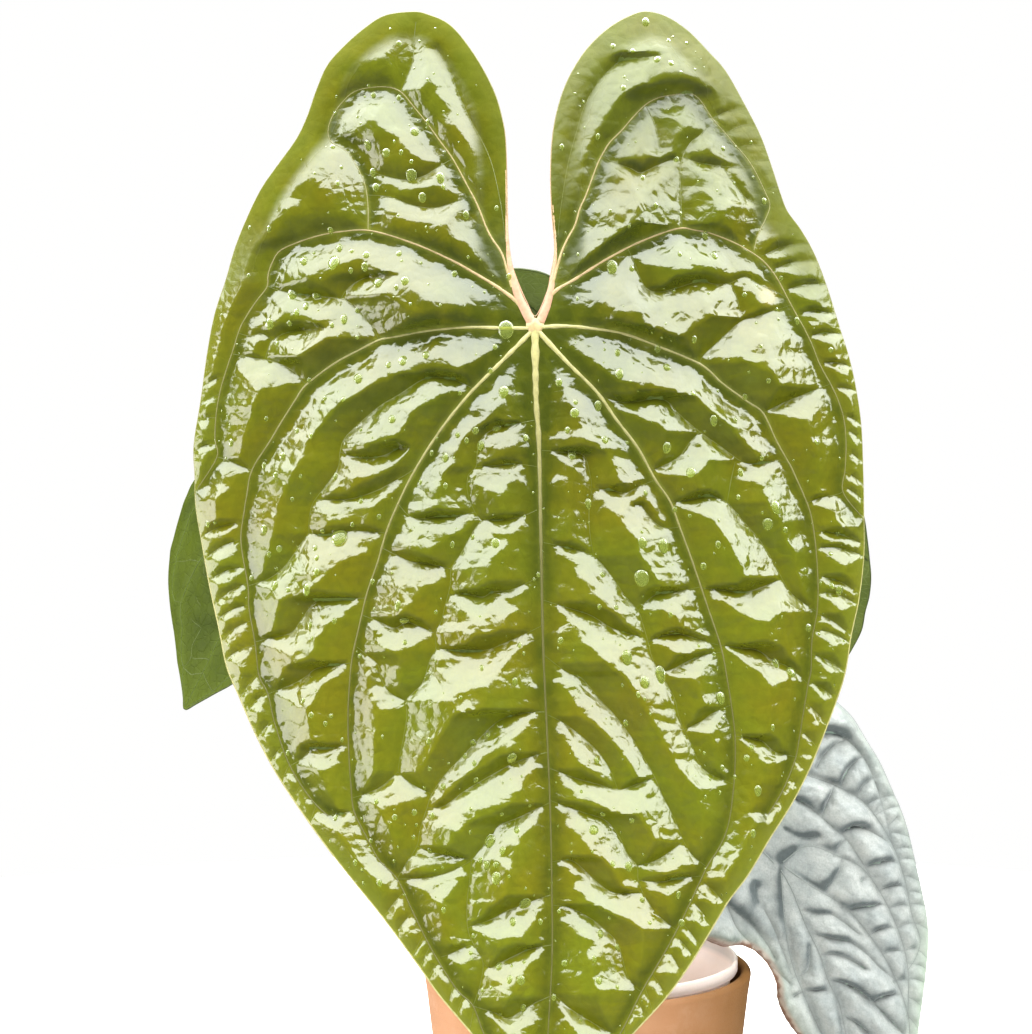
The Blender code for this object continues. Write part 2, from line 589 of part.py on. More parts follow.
def build_plant():
    """Crown, four blades and their stalks."""
    veins = MAIN_VEINS + CROSS_VEINS
    plain = MAIN_VEINS + [CROSS_VEINS[k] for k in HIND_CROSS]
    margin = MARGIN_LEFT + MARGIN_RIGHT[::-1]
    front = Blade("blade_front", margin, veins, NODE, FRONT_BEND, step=19.5, relief=0.0032, reach=11.0,
                  colour=(0.19, 0.23, 0.02), roughness=0.2)
    place = dict(node=LEFT_BEND.centre, along=(-101, 219), across=(182, 84))
    left = Blade("blade_left", hind(margin, **place), [hind(vein, **place) for vein in plain],
                 LEFT_BEND.centre, LEFT_BEND, step=14.0, relief=0.0016, reach=6.0,
                 colour=(0.05, 0.10, 0.015), roughness=0.3)
    place = dict(node=RIGHT_BEND.centre, along=(30, 365), across=(564, 108))
    right = Blade("blade_right", hind(margin, **place), [hind(vein, **place) for vein in plain],
                  RIGHT_BEND.centre, RIGHT_BEND, step=21.0, relief=0.0024, reach=9.0,
                  colour=(0.05, 0.10, 0.015), roughness=0.3, facing=-1.0)
    silver = Blade("blade_silver", SILVER_MARGIN, SILVER_VEINS, SILVER_NODE, SILVER_BEND, step=12.0,
                   relief=0.0026, reach=6.0, colour=(0.42, 0.50, 0.50), roughness=0.6)
    for blade in (front, left, right, silver):
        blade.build()
    base = MIX_TOP - CROWN_DEPTH + SEAT_GAP
    crown = turned("crown", [
        (0.0, base),
        *arc((CROWN_RADIUS - POT_EDGE, base + POT_EDGE), POT_EDGE, -90, 0, 1),
        *arc((CROWN_RADIUS - CROWN_EDGE, CROWN_TOP - CROWN_EDGE), CROWN_EDGE, 0, 90, 2),
        (0.0, CROWN_TOP),
    ], (0.22, 0.17, 0.09), 0.8, segments=24)
    stalks = [
        (front, Stalk("petiole_front", foot=(-0.0006, -0.0052), lean=(-0.03, -0.05, 1.0),
                      leave=0.42, arrive=0.30, droop=0.55)),
        (left, Stalk("petiole_left", foot=(-0.0050, 0.0022), lean=(-0.16, 0.06, 1.0),
                     leave=0.45, arrive=0.18, droop=2.4)),
        (right, Stalk("petiole_right", foot=(0.0022, 0.0052), lean=(0.04, 0.13, 1.0),
                      leave=0.40, arrive=0.30, droop=0.6)),
        (silver, Stalk("petiole_silver", foot=(0.0056, -0.0012), lean=(0.22, 0.03, 1.0),
                       leave=0.75, arrive=0.60, droop=0.9)),
    ]
    for blade, plan in stalks:
        points, radii = plan.line(blade)
        stalk(plan.name, points, radii, (0.17, 0.22, 0.06))
        cut(crown, socket(plan.name + "_hole", points[0], points[1], radii[0] + SEAT_GAP))


clear_scene()
build_pots()
build_plant()
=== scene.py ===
"""Anthurium luxurians in its pots: the finished look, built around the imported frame.

Metres, +Z up, and the viewer looks towards +Y. Each leaf's lines are drawn on an upright sheet, in sheet
units, as the viewer's eye sees them. They are lifted along the line of sight onto the leaf's own curved
surface, so a line keeps its place in the front view however the blade bends.
"""

import logging
import math
from dataclasses import dataclass
from enum import Enum
from typing import Callable, Optional

import bpy
import numpy as np
from bpy.types import Material, Node, NodeSocket, Object
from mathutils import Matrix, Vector
from mathutils.geometry import delaunay_2d_cdt
from mathutils.kdtree import KDTree


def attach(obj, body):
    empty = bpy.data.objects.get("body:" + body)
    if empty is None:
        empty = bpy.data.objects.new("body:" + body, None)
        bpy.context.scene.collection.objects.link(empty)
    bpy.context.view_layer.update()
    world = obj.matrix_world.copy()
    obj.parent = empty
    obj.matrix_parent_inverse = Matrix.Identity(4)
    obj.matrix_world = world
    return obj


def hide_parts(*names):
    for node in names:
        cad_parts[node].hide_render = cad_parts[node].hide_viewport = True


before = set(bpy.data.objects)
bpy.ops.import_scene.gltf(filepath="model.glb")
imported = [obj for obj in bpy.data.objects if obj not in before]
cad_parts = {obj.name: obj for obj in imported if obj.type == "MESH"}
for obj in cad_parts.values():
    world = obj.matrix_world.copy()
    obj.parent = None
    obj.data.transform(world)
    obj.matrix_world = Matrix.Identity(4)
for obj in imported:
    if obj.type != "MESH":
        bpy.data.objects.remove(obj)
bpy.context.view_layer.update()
LOG = logging.getLogger("anthurium")

# Eye and sheet: sheet points are (right, down) in sheet units, FOCAL units from the eye
EYE = np.array((-0.0264, -0.706, 0.284))
FOCAL = 1900.0
SHEET_CENTRE = (516.0, 517.0)
SHEET_HEIGHT = 1034.0
SENSOR_MM = 36.0

# Front leaf: its real width and its width on the sheet set its distance from the eye
FRONT_WIDTH = 0.209
FRONT_UNITS = 668.0
FRONT_PLANE = float(EYE[1]) + FOCAL * FRONT_WIDTH / FRONT_UNITS
FRONT_LENGTH_UNITS = 805.0
NODE = (535.0, 325.0)
BLADE_THICKNESS = 0.0008

# Ranges on the sheet over which a leaf's skin or look sets in, each from none to full
CALM_RIGHT, CALM_UP = (505.0, 565.0), (380.0, 240.0)
EVEN_UP = (330.0, 200.0)
LIVELY_RIGHT, LIVELY_DOWN = (590.0, 660.0), (360.0, 440.0)
MATT_UP, MATT_RIM = (330.0, 210.0), (36.0, 20.0)
RIGHT_LOBE_UP, RIGHT_LOBE_RIGHT = (235.0, 165.0), (535.0, 555.0)
CREAM_DOWN, TIP_DOWN = (420.0, 620.0), (1040.0, 1130.0)
DRY_DOWN, DRY_LEFT = (930.0, 944.0), (812.0, 794.0)
GREEN_DOWN = (880.0, 960.0)

# Ranges of distance from the node for quilting, shelves and halos, and from a line for cushions
NODE_RISE, SHELF_FADE, HALO_FADE = (16.72, 92.72), (200.0, 500.0), (120.0, 370.0)
LINE_RISE = (0.0, 6.0)


def pairs(*numbers: float) -> list:
    """Sheet points from flat numbers: right, down, right, down, and so on."""
    return list(zip(numbers[::2], numbers[1::2]))


# Margin of the front leaf, from the notch round the left side to the tip
MARGIN_LEFT = pairs(
    535.5, 316.5, 526, 301, 520, 288, 515, 275, 511, 264, 508, 248, 507, 209, 505.6, 146, 501.7, 118,
    492.6, 89, 474, 55, 450.7, 26, 427, 14.4, 411.5, 12, 385, 15.7, 364, 28.8, 343.5, 47, 327.8, 65,
    317, 89, 307, 117.7, 296, 140, 278, 165, 262, 188, 249, 214, 236, 246, 226, 280, 215, 314, 207.5, 353,
    201, 400, 194, 445, 195, 475, 196, 506, 202, 542, 210, 586, 219, 627, 227, 666, 239, 695, 256, 734,
    275, 770, 297, 804, 326, 845, 355, 882, 384, 918, 418, 964, 440, 995, 472, 1033, 500, 1068, 522, 1098,
    545, 1130)
# The right side, from the notch to the tip
MARGIN_RIGHT = pairs(
    547, 293, 551, 274.6, 555, 248, 552, 209, 551, 170, 553.6, 131, 561.5, 97, 573, 70.6, 589, 47,
    610, 27.5, 631, 15.7, 647, 11.8, 667, 17, 688, 31, 706.6, 50, 725, 70.6, 743, 102, 759, 133,
    769, 159.5, 781, 196, 787.6, 212, 800.7, 230, 814, 253.7, 827, 287.7, 840, 329.5, 849, 358, 856, 390,
    861, 426, 862.8, 469.7, 863.5, 511, 863.5, 554.5, 858.7, 598, 851, 634.5, 844, 675.7, 830, 717,
    810.8, 765, 791, 804, 769.6, 838, 747.8, 874.5, 728, 901, 709, 932.6, 689.7, 964, 665, 998, 632, 1034,
    603, 1067, 574, 1100)

# Main veins of the front leaf, each from the node outwards
MIDRIB = pairs(
    535, 325, 536, 397, 539, 445, 541, 542, 543, 640, 545, 690, 549, 777, 551, 838, 552, 899, 552, 960,
    548, 1034, 546, 1080, 545, 1118)
INNER_LEFT = pairs(
    533, 330, 502, 361, 471, 392, 447, 421, 427, 450, 410, 479, 396, 508, 386, 533, 377, 564, 367, 593,
    359, 627, 352, 659, 349, 692, 348, 722, 349, 756, 351, 785, 354, 811, 367, 838, 379, 860, 397, 879,
    411, 908, 423, 933, 437, 959, 457, 990, 473, 1006, 484, 1034, 500, 1060, 520, 1090, 540, 1118)
INNER_RIGHT = pairs(
    537, 330, 568, 363, 597, 392, 616, 419, 638, 448, 655, 479, 670, 501, 679, 525, 689, 552, 699, 581,
    708, 608, 721, 647, 727, 678, 732, 710, 735, 736, 735, 765, 733, 794, 728, 826, 719, 848, 707, 867,
    692, 899, 677, 930, 661, 959, 641, 993, 620, 1034, 597, 1065, 570, 1098, 550, 1118)
MIDDLE_LEFT = pairs(
    530, 328, 502, 328, 471, 327, 432, 330, 398, 336, 379, 340, 359, 350, 335, 363, 306, 385, 296, 399,
    282, 421, 270, 441, 252, 470, 247, 494, 244, 513, 241, 542, 248, 586, 249, 608, 255, 642, 259, 675,
    268, 694, 275, 724, 290, 766, 311, 799, 328, 816)
MIDDLE_RIGHT = pairs(
    540, 327, 565, 326, 590, 328, 622, 333, 655, 345, 700, 364, 722, 383, 748, 402, 763, 413, 777, 442,
    790, 465, 797, 480, 807, 503, 812, 520, 816, 550, 818, 585, 817, 612, 812, 640, 811, 670, 808, 685,
    803, 715, 799, 740, 795, 760, 783, 790, 768, 815)
OUTER_LEFT = pairs(
    524, 312, 516, 301, 506, 293, 493, 284, 478, 275, 460, 264.5, 443, 256, 424, 247.5, 404, 240, 385, 234,
    365, 230, 346, 231, 326, 234, 304, 240, 281, 250, 273, 261, 268, 275, 267, 287, 255, 303, 241, 326,
    233, 350, 226, 371, 220, 392, 216, 416, 215, 440, 217, 457, 198, 488)
OUTER_RIGHT = pairs(
    545, 312, 553, 293, 575, 279, 605, 260, 635, 244, 665, 232, 682, 228, 695, 230, 710, 233, 735, 243,
    757, 256, 768, 266, 778, 280, 787, 297, 795, 312, 805, 330, 813, 347, 820, 365, 830, 383, 838, 400,
    844, 420, 846, 445, 845, 470, 843, 492, 861, 516)
LOBE_LEFT = pairs(
    512, 287, 507, 270, 504, 259, 500, 250, 493, 240, 487, 229, 477, 204, 466, 183, 453, 159, 440, 141,
    427, 123, 414, 107, 401, 92, 387, 87, 367, 88, 352, 93, 340, 105, 333, 115, 328, 130, 331, 142,
    345, 150, 356, 165, 365, 185, 368, 207, 368, 229)
LOBE_RIGHT = pairs(
    553, 283, 557, 268, 560, 257, 564, 246, 569, 236, 575, 225, 580, 208, 586, 195, 597, 165, 603, 153,
    610, 142, 622, 130, 633, 117, 645, 105, 655, 99, 665, 96, 680, 94, 690, 93, 700, 100, 712, 118,
    725, 133, 737, 147, 748, 160, 757, 175, 765, 192, 770, 205, 766, 218, 758, 235, 754, 250)
EDGE_LEFT = pairs(
    505, 240, 503, 220, 499, 195, 492, 165, 484, 145, 473, 125, 463, 105, 455, 85, 447, 65, 436, 48)
EDGE_RIGHT = pairs(
    558, 235, 560, 215, 565, 180, 570, 155, 577, 130, 585, 105, 600, 80, 620, 60)
SINUS_LEFT = pairs(
    532, 323, 524.5, 309, 519.5, 299, 516, 289, 512.5, 276, 509.5, 263, 507.5, 245, 506.5, 225, 506, 200,
    505.5, 170)
SINUS_RIGHT = pairs(
    540, 322, 544.5, 311, 547, 305, 550, 294, 552, 283, 553.8, 272, 555.3, 260, 556, 245, 554.5, 225,
    553, 205)

# Cross veins of the front leaf, left side from the top
CROSS_LEFT = [pairs(*line) for line in (
    (401, 92, 408, 75, 413, 60, 414, 40, 416, 22),
    (368, 195, 390, 197, 408, 204, 425, 208, 440, 207, 458, 201, 472, 195),
    (379, 340, 373, 328, 363, 317, 350, 303, 341, 299, 315, 296, 285, 292, 267, 286),
    (341, 299, 345, 292, 352, 285, 360, 280, 368, 277),
    (306, 385, 293, 371, 275, 362, 253, 358, 233, 354),
    (265, 359, 268, 350, 271, 342, 283, 334, 303, 329),
    (238, 333, 250, 336, 262, 334, 272, 340),
    (252, 470, 243, 467, 224, 459, 217, 457),
    (474, 389, 455, 380, 435, 377, 420, 381, 400, 394, 380, 406, 360, 423, 345, 438, 340, 452, 338, 468,
     325, 487, 313, 503, 309, 520, 309, 533),
    (309, 533, 300, 545, 286, 565, 270, 578, 248, 586),
    (309, 533, 325, 535, 353, 531, 385, 533),
    (365, 598, 330, 600, 315, 602, 300, 622, 291, 633, 270, 638, 255, 642),
    (350, 663, 318, 668, 307, 676, 293, 684, 268, 694),
    (347, 745, 330, 748, 313, 748, 303, 758, 290, 766),
    (354, 811, 328, 816),
    (536, 420, 515, 424, 500, 427, 487, 433, 480, 442, 477, 455, 476, 467, 468, 476, 468, 495, 475, 512,
     482, 521),
    (476, 467, 490, 466, 515, 464, 540, 467),
    (537, 510, 520, 517, 500, 520, 482, 521, 470, 537, 462, 552, 451, 569, 451, 580, 448, 595, 444, 610,
     441, 622, 434, 633),
    (451, 569, 430, 564, 412, 562, 400, 557, 382, 548),
    (475, 512, 457, 516, 435, 517, 418, 519, 408, 515, 399, 505),
    (448, 595, 465, 594, 483, 597, 492, 592, 510, 590, 527, 583, 541, 576),
    (436, 648, 450, 650, 475, 651, 490, 649, 505, 643, 525, 634, 543, 625),
    (434, 633, 420, 627, 407, 622, 395, 628, 380, 622, 362, 615),
    (434, 633, 436, 648, 430, 660, 423, 682, 414, 692, 406, 701, 407, 716, 403, 740, 400, 757, 398, 772),
    (357, 647, 368, 656, 378, 665, 382, 680, 390, 693, 406, 701),
    (352, 798, 365, 794, 382, 786, 398, 772),
    (398, 772, 410, 783, 432, 794),
    (545, 712, 525, 713, 500, 720, 480, 738, 462, 757, 445, 775, 432, 794, 427, 808, 420, 830, 417, 846,
     407, 862, 397, 879),
    (417, 846, 430, 852, 450, 856, 472, 860),
    (549, 803, 530, 812, 515, 819, 498, 826, 492, 836, 480, 850, 472, 860),
    (472, 860, 469, 885, 467, 905, 468, 930, 475, 947, 483, 963, 480, 985, 473, 1006),
    (551, 895, 535, 900, 520, 906, 505, 912, 490, 920, 475, 925, 468, 928),
    (552, 945, 530, 949, 512, 957, 502, 962, 490, 968, 483, 963),
    (441, 957, 450, 954, 468, 946, 475, 947),
    (551, 996, 535, 1003, 520, 1012, 508, 1018, 495, 1013, 473, 1006),
    (397, 879, 425, 878, 450, 872, 472, 860),
    (549, 752, 530, 757, 512, 764, 490, 776, 466, 790, 444, 806, 427, 808),
    (452, 159, 437, 168, 424, 176, 408, 180, 392, 178, 372, 172),
    (398, 448, 385, 455, 368, 458, 350, 456, 340, 452),
    (416, 468, 400, 478, 378, 490, 355, 498, 335, 500, 316, 500),
)]
# Cross veins of the right side
CROSS_RIGHT = [pairs(*line) for line in (
    (682, 228, 681, 200, 680, 172, 683, 156, 690, 143, 700, 135, 712, 122),
    (602, 156, 615, 163, 630, 168, 640, 173, 652, 168, 665, 162, 683, 157),
    (645, 104, 655, 125, 660, 150),
    (683, 157, 700, 163, 720, 166, 738, 168, 752, 166),
    (722, 166, 735, 185, 748, 200, 768, 206),
    (628, 249, 634, 262, 645, 287, 660, 292, 680, 287, 700, 281, 714, 284, 730, 283, 745, 277, 760, 285,
     776, 292, 789, 300),
    (730, 283, 737, 298, 740, 312),
    (700, 364, 703, 356, 720, 340, 740, 322, 755, 317, 770, 312, 791, 305),
    (763, 413, 785, 402, 800, 396, 815, 390, 830, 384),
    (598, 395, 620, 402, 640, 401, 655, 398, 668, 402, 680, 415, 700, 432, 720, 446, 745, 463, 768, 462,
     788, 462),
    (700, 432, 690, 442, 680, 456, 665, 465, 651, 471),
    (735, 462, 731, 480, 727, 503),
    (672, 503, 693, 499, 710, 496, 727, 503, 742, 520, 757, 537, 768, 553, 779, 573, 790, 592, 803, 603,
     817, 612),
    (779, 580, 762, 587, 745, 592, 722, 590, 702, 588),
    (721, 645, 740, 648, 757, 650, 772, 660, 790, 668, 808, 684),
    (735, 736, 748, 738, 762, 741, 775, 752, 797, 757),
    (807, 503, 820, 498, 835, 495, 843, 492),
    (539, 450, 560, 452, 583, 455, 590, 475, 592, 489),
    (592, 489, 610, 490, 625, 493, 640, 486, 655, 480),
    (592, 489, 589, 510, 590, 535, 594, 557),
    (541, 542, 560, 546, 580, 551, 592, 556, 600, 562, 612, 577, 625, 596, 638, 611, 643, 625, 648, 642,
     652, 658, 660, 673, 668, 686, 675, 700, 678, 714, 684, 730, 692, 746, 700, 765, 712, 775, 733, 784),
    (638, 611, 648, 600, 660, 593, 680, 591, 700, 587),
    (648, 642, 662, 636, 680, 634, 700, 640, 718, 645),
    (660, 673, 675, 668, 690, 660, 705, 655, 722, 652),
    (684, 730, 700, 722, 715, 712, 731, 705),
    (544, 655, 553, 662, 568, 673, 580, 677, 592, 690, 600, 700, 612, 712, 620, 722, 632, 738, 640, 752,
     648, 765, 655, 778, 662, 795, 670, 810, 677, 825, 683, 840, 692, 855, 707, 867),
    (543, 600, 565, 607, 590, 615, 612, 628, 640, 637),
    (655, 778, 640, 783, 618, 790, 600, 785, 575, 778, 549, 768),
    (683, 842, 668, 853, 655, 861, 637, 866),
    (549, 800, 565, 806, 585, 813, 605, 820, 618, 835, 628, 855, 637, 866, 638, 880, 643, 893, 655, 912,
     672, 927, 677, 930),
    (551, 862, 570, 860, 582, 868, 598, 883, 615, 893, 643, 893),
    (552, 905, 570, 908, 590, 918, 605, 930, 617, 942, 622, 957, 627, 975, 635, 987, 642, 992),
    (551, 992, 560, 1000, 572, 1010, 588, 1020, 605, 1030, 618, 1036),
    (637, 880, 660, 882, 680, 878, 701, 876),
    (548, 715, 562, 722, 580, 735, 598, 752, 610, 770, 618, 790),
    (641, 505, 652, 520, 664, 528, 680, 527),
)]

# Larger water drops on the front leaf: right, down and radius in sheet units
DROPS = [
    (388, 155, 4), (403, 155, 3), (415, 132, 5), (428, 122, 3), (412, 175, 6), (441, 178, 5), (444, 188, 3),
    (466, 215, 4), (423, 198, 5), (373, 172, 4), (376, 187, 4), (333, 147, 3), (369, 146, 5), (400, 45, 3),
    (340, 248, 5), (353, 252, 3), (368, 256, 4), (337, 264, 8), (306, 262, 5), (353, 272, 3), (367, 268, 4),
    (380, 284, 6), (408, 284, 5), (293, 294, 7), (308, 307, 4), (272, 325, 6), (346, 320, 5), (335, 327, 3),
    (317, 296, 6), (300, 314, 4), (390, 366, 4), (404, 361, 6), (360, 379, 5), (327, 399, 3), (427, 356, 4),
    (506, 329, 9), (446, 458, 5), (458, 435, 3), (467, 441, 3), (476, 431, 4), (504, 392, 6), (495, 347, 3),
    (481, 445, 5), (497, 428, 5), (394, 420, 4), (284, 456, 4), (315, 437, 3), (298, 431, 3), (267, 529, 4),
    (340, 537, 9), (317, 548, 3), (277, 585, 5), (312, 590, 5), (320, 558, 3), (312, 625, 3), (645, 23, 5),
    (612, 48, 3), (612, 266, 6), (705, 235, 5), (713, 256, 4), (666, 368, 4), (617, 353, 4), (618, 375, 6),
    (711, 421, 5), (574, 414, 5), (575, 403, 3), (604, 440, 4), (740, 472, 4), (665, 448, 5), (688, 473, 5),
    (598, 405, 5), (572, 455, 5), (588, 503, 5), (645, 493, 3), (640, 543, 5), (662, 545, 6), (765, 524, 6),
    (772, 508, 7), (715, 545, 4), (640, 578, 8), (668, 615, 3), (615, 608, 3), (602, 575, 3), (625, 657, 7),
    (660, 673, 8), (643, 682, 6), (830, 586, 4), (838, 590, 5), (775, 662, 5), (790, 672, 6), (720, 697, 5),
    (405, 620, 5), (397, 817, 3), (415, 812, 3), (517, 830, 4), (503, 850, 4), (497, 877, 5), (490, 840, 6),
    (487, 865, 4), (515, 682, 4), (512, 757, 6), (475, 763, 3), (430, 850, 3), (745, 758, 3), (593, 830, 5),
    (628, 866, 5), (600, 933, 4), (617, 947, 3), (755, 790, 5), (750, 833, 4), (496, 543, 5), (400, 605, 5),
    (513, 921, 4), (525, 903, 8), (510, 979, 4), (521, 980, 5), (523, 1007, 4), (499, 966, 4),
]

# Silver leaf: margin from its notch round the right side, then its grooves
SILVER_NODE = (781.0, 870.0)
SILVER_MARGIN = pairs(
    777, 819, 783, 801, 787, 780, 789, 760, 792, 738, 799, 712, 813, 698, 828, 697, 842, 707, 854, 720,
    866, 740, 880, 763, 892, 790, 900, 808, 907, 828, 914, 857, 922, 892, 927, 918, 928, 945, 925, 980,
    920, 1018, 916, 1045, 911, 1072, 905, 1098, 899, 1124, 894, 1152, 878, 1128, 858, 1104, 836, 1078,
    815, 1054, 797, 1034, 784, 1014, 778, 998, 777, 983, 770, 967, 758, 953, 743, 945, 725, 946, 710, 941,
    697, 935, 688, 922, 683, 903, 683, 878, 688, 850, 696, 824, 707, 803, 721, 789, 736, 785, 750, 788,
    762, 797, 771, 808)
SILVER_MAIN = [pairs(*line) for line in (
    (781, 870, 792, 890, 806, 925, 820, 955, 828, 980, 839, 1003, 846, 1034, 856, 1066, 872, 1108,
     888, 1140),
    (785, 867, 810, 885, 838, 902, 855, 917, 880, 950, 896, 980, 908, 1015, 909, 1050, 900, 1095),
    (783, 862, 808, 846, 838, 856, 862, 868, 883, 897, 900, 935, 908, 970, 908, 1015),
    (803, 774, 832, 784, 858, 797, 874, 814, 893, 845, 905, 880, 912, 915, 920, 938, 917, 955, 908, 970),
    (781, 873, 784, 915, 790, 955, 800, 985, 822, 1034, 850, 1074, 876, 1115),
    (774, 863, 750, 838, 726, 815, 706, 835, 697, 870, 712, 895, 728, 905),
)]
SILVER_CROSS = [pairs(*line) for line in (
    (796, 799, 809, 806, 822, 818, 845, 838, 862, 862, 883, 897),
    (803, 778, 812, 740, 832, 733, 858, 750, 876, 785, 893, 845),
    (808, 932, 830, 938, 850, 942, 868, 955, 880, 968, 896, 980),
    (828, 980, 845, 983, 862, 993, 880, 1010, 909, 1040),
    (842, 1015, 865, 1030, 900, 1075),
    (728, 905, 736, 927, 757, 950, 790, 984),
)]
SILVER_FINE = [pairs(*line) for line in (
    (816, 769, 824, 755, 836, 744, 848, 740),
    (841, 787, 846, 772, 861, 757),
    (857, 798, 862, 787, 874, 777),
    (873, 815, 878, 807, 886, 799),
    (885, 829, 891, 823, 897, 817),
    (822, 818, 825, 807, 834, 788),
    (841, 833, 854, 826, 868, 830, 888, 842),
    (866, 867, 875, 863, 887, 861, 898, 863),
    (880, 890, 890, 886, 902, 886, 908, 890),
    (889, 908, 899, 905, 912, 906),
    (898, 928, 909, 923, 919, 923),
    (905, 950, 914, 948, 920, 948),
    (785, 829, 794, 836, 806, 838, 819, 836),
    (833, 857, 837, 848, 846, 839),
    (861, 881, 867, 877, 874, 876),
    (823, 893, 829, 885, 838, 873, 842, 859),
    (846, 912, 856, 908, 869, 906, 886, 904),
    (869, 936, 880, 929, 898, 928),
    (882, 955, 890, 951, 904, 951),
    (893, 981, 902, 979, 909, 981),
    (802, 910, 816, 914, 830, 914, 846, 924, 860, 935),
    (820, 955, 835, 954, 849, 959, 864, 968),
    (872, 1003, 883, 996, 900, 994),
    (792, 978, 808, 970, 810, 945),
    (794, 996, 809, 990, 827, 991),
    (729, 906, 747, 921, 762, 937, 775, 958),
    (756, 886, 760, 902, 772, 925, 783, 952, 791, 974),
)]


def run(points: np.ndarray) -> np.ndarray:
    """Distance along a line to each of its points."""
    return np.concatenate([[0.0], np.cumsum(np.linalg.norm(np.diff(points, axis=0), axis=1))])


def smooth_line(points: list, step: float, closed: bool = False) -> np.ndarray:
    """Even points along a smooth curve through the given ones.

    Args:
        points: Knots of the curve, in two or three dimensions.
        step: Distance between the points that come back.
        closed: Whether the curve runs back to its start.

    Returns:
        Array of points. A closed curve doesn't repeat its first point.
    """
    knots = np.array(points, float)
    count = len(knots)
    share = np.linspace(0.0, 1.0, 12, endpoint=False)[:, None]
    dense = []
    for i in range(count if closed else count - 1):
        around = [(i + k) % count if closed else min(max(i + k, 0), count - 1) for k in (-1, 0, 1, 2)]
        before, start, end, after = knots[around]
        dense.append(0.5 * (2 * start + (end - before) * share
                            + (2 * before - 5 * start + 4 * end - after) * share ** 2
                            + (3 * start - before - 3 * end + after) * share ** 3))
    dense.append(knots[:1] if closed else knots[-1:])
    dense = np.vstack(dense)
    along = run(dense)
    pieces = max(int(round(along[-1] / step)), 1)
    where = np.linspace(0.0, along[-1], pieces + 1)
    even = np.stack([np.interp(where, along, dense[:, k]) for k in range(dense.shape[1])], axis=1)
    return even[:-1] if closed else even


def inside(points: np.ndarray, loop: np.ndarray) -> np.ndarray:
    """Which points lie inside a closed loop."""
    result = np.zeros(len(points), bool)
    for (x0, y0), (x1, y1) in zip(loop, np.roll(loop, -1, axis=0)):
        crosses = (y0 > points[:, 1]) != (y1 > points[:, 1])
        level = (x1 - x0) * (points[:, 1] - y0) / ((y1 - y0) or 1e-12) + x0
        result ^= crosses & (points[:, 0] < level)
    return result


def ripple(points: np.ndarray, length: float, seed: int, waves: int = 7) -> np.ndarray:
    """Smooth random field, about -1 to 1, whose bumps are about length apart.

    Args:
        points: Places in two or three dimensions.
        length: Distance from bump to bump.
        seed: Seed of the waves' directions and phases.
        waves: Number of waves that are added up.

    Returns:
        One value for each point.
    """
    rng = np.random.default_rng(seed)
    total = np.zeros(len(points))
    for _ in range(waves):
        way = rng.normal(size=points.shape[1])
        way *= 2 * math.pi / (length * rng.uniform(0.75, 1.5) * np.linalg.norm(way))
        total += np.sin(points @ way + rng.uniform(0, 2 * math.pi))
    return total / math.sqrt(waves)


def ramp(value: np.ndarray, start: float, end: float) -> np.ndarray:
    """Soft step: 0 before start, 1 past end."""
    held = np.clip((value - start) / (end - start), 0.0, 1.0)
    return held * held * (3.0 - 2.0 * held)


def circle(spokes: int) -> np.ndarray:
    """Points of a round of radius 1, in even steps."""
    turn = np.linspace(0.0, 2 * math.pi, spokes, endpoint=False)
    return np.stack([np.cos(turn), np.sin(turn)], axis=1)


def search_tree(points: np.ndarray) -> KDTree:
    """Balanced search tree of sheet points."""
    tree = KDTree(len(points))
    for index, (x, y) in enumerate(points):
        tree.insert((x, y, 0.0), index)
    tree.balance()
    return tree


def normals_of(place: Callable, points: np.ndarray, reach: float, along: np.ndarray) -> np.ndarray:
    """Unit normals of a surface over the sheet.

    Args:
        place: Gives the surface's places for sheet points.
        points: Sheet points.
        reach: Distance to the sheet points that are compared with each.
        along: A direction on the wanted side of the surface, for each point.

    Returns:
        One normal for each point.
    """
    right, down = np.array((reach, 0.0)), np.array((0.0, reach))
    across, lower = place(points + right) - place(points - right), place(points + down) - place(points - down)
    normal = np.cross(across, lower)
    normal /= np.linalg.norm(normal, axis=1)[:, None]
    return normal * np.sign((normal * along).sum(axis=1))[:, None]


class Nearest:
    """Finds the nearest of many line points, with the line's direction there."""

    def __init__(self, lines: list) -> None:
        """Args: lines: arrays of points, each dense enough to stand for its line."""
        self.points = np.vstack(lines)
        self.ways = np.vstack([np.gradient(line, axis=0) for line in lines])
        self.owners = np.concatenate([np.full(len(line), number) for number, line in enumerate(lines)])
        self.tree = search_tree(self.points)

    def look(self, points: np.ndarray) -> tuple:
        """Distance to the nearest line point, and its index, for each point."""
        found = [self.tree.find((x, y, 0.0)) for x, y in points]
        return np.array([f[2] for f in found]), np.array([f[1] for f in found])


def make_object(name: str, points: np.ndarray, faces: list, materials: list,
                marks: Optional[np.ndarray] = None, crease: float = 30.0) -> Object:
    """A smooth-shaded object at the origin.

    Args:
        name: Its name.
        points: Its corners, in metres.
        faces: Its faces, as tuples of corner numbers.
        materials: Its materials, in slot order.
        marks: Slot number of each face, where there are several slots.
        crease: Angle in degrees past which an edge stays sharp.

    Returns:
        The linked object.
    """
    data = bpy.data.meshes.new(name)
    data.from_pydata(points.tolist(), [], faces)
    for material in materials:
        data.materials.append(material)
    if marks is not None:
        data.polygons.foreach_set("material_index", np.asarray(marks, np.int32))
    data.shade_smooth()
    data.set_sharp_from_angle(angle=math.radians(crease))
    data.update()
    piece = bpy.data.objects.new(name, data)
    bpy.context.scene.collection.objects.link(piece)
    return piece


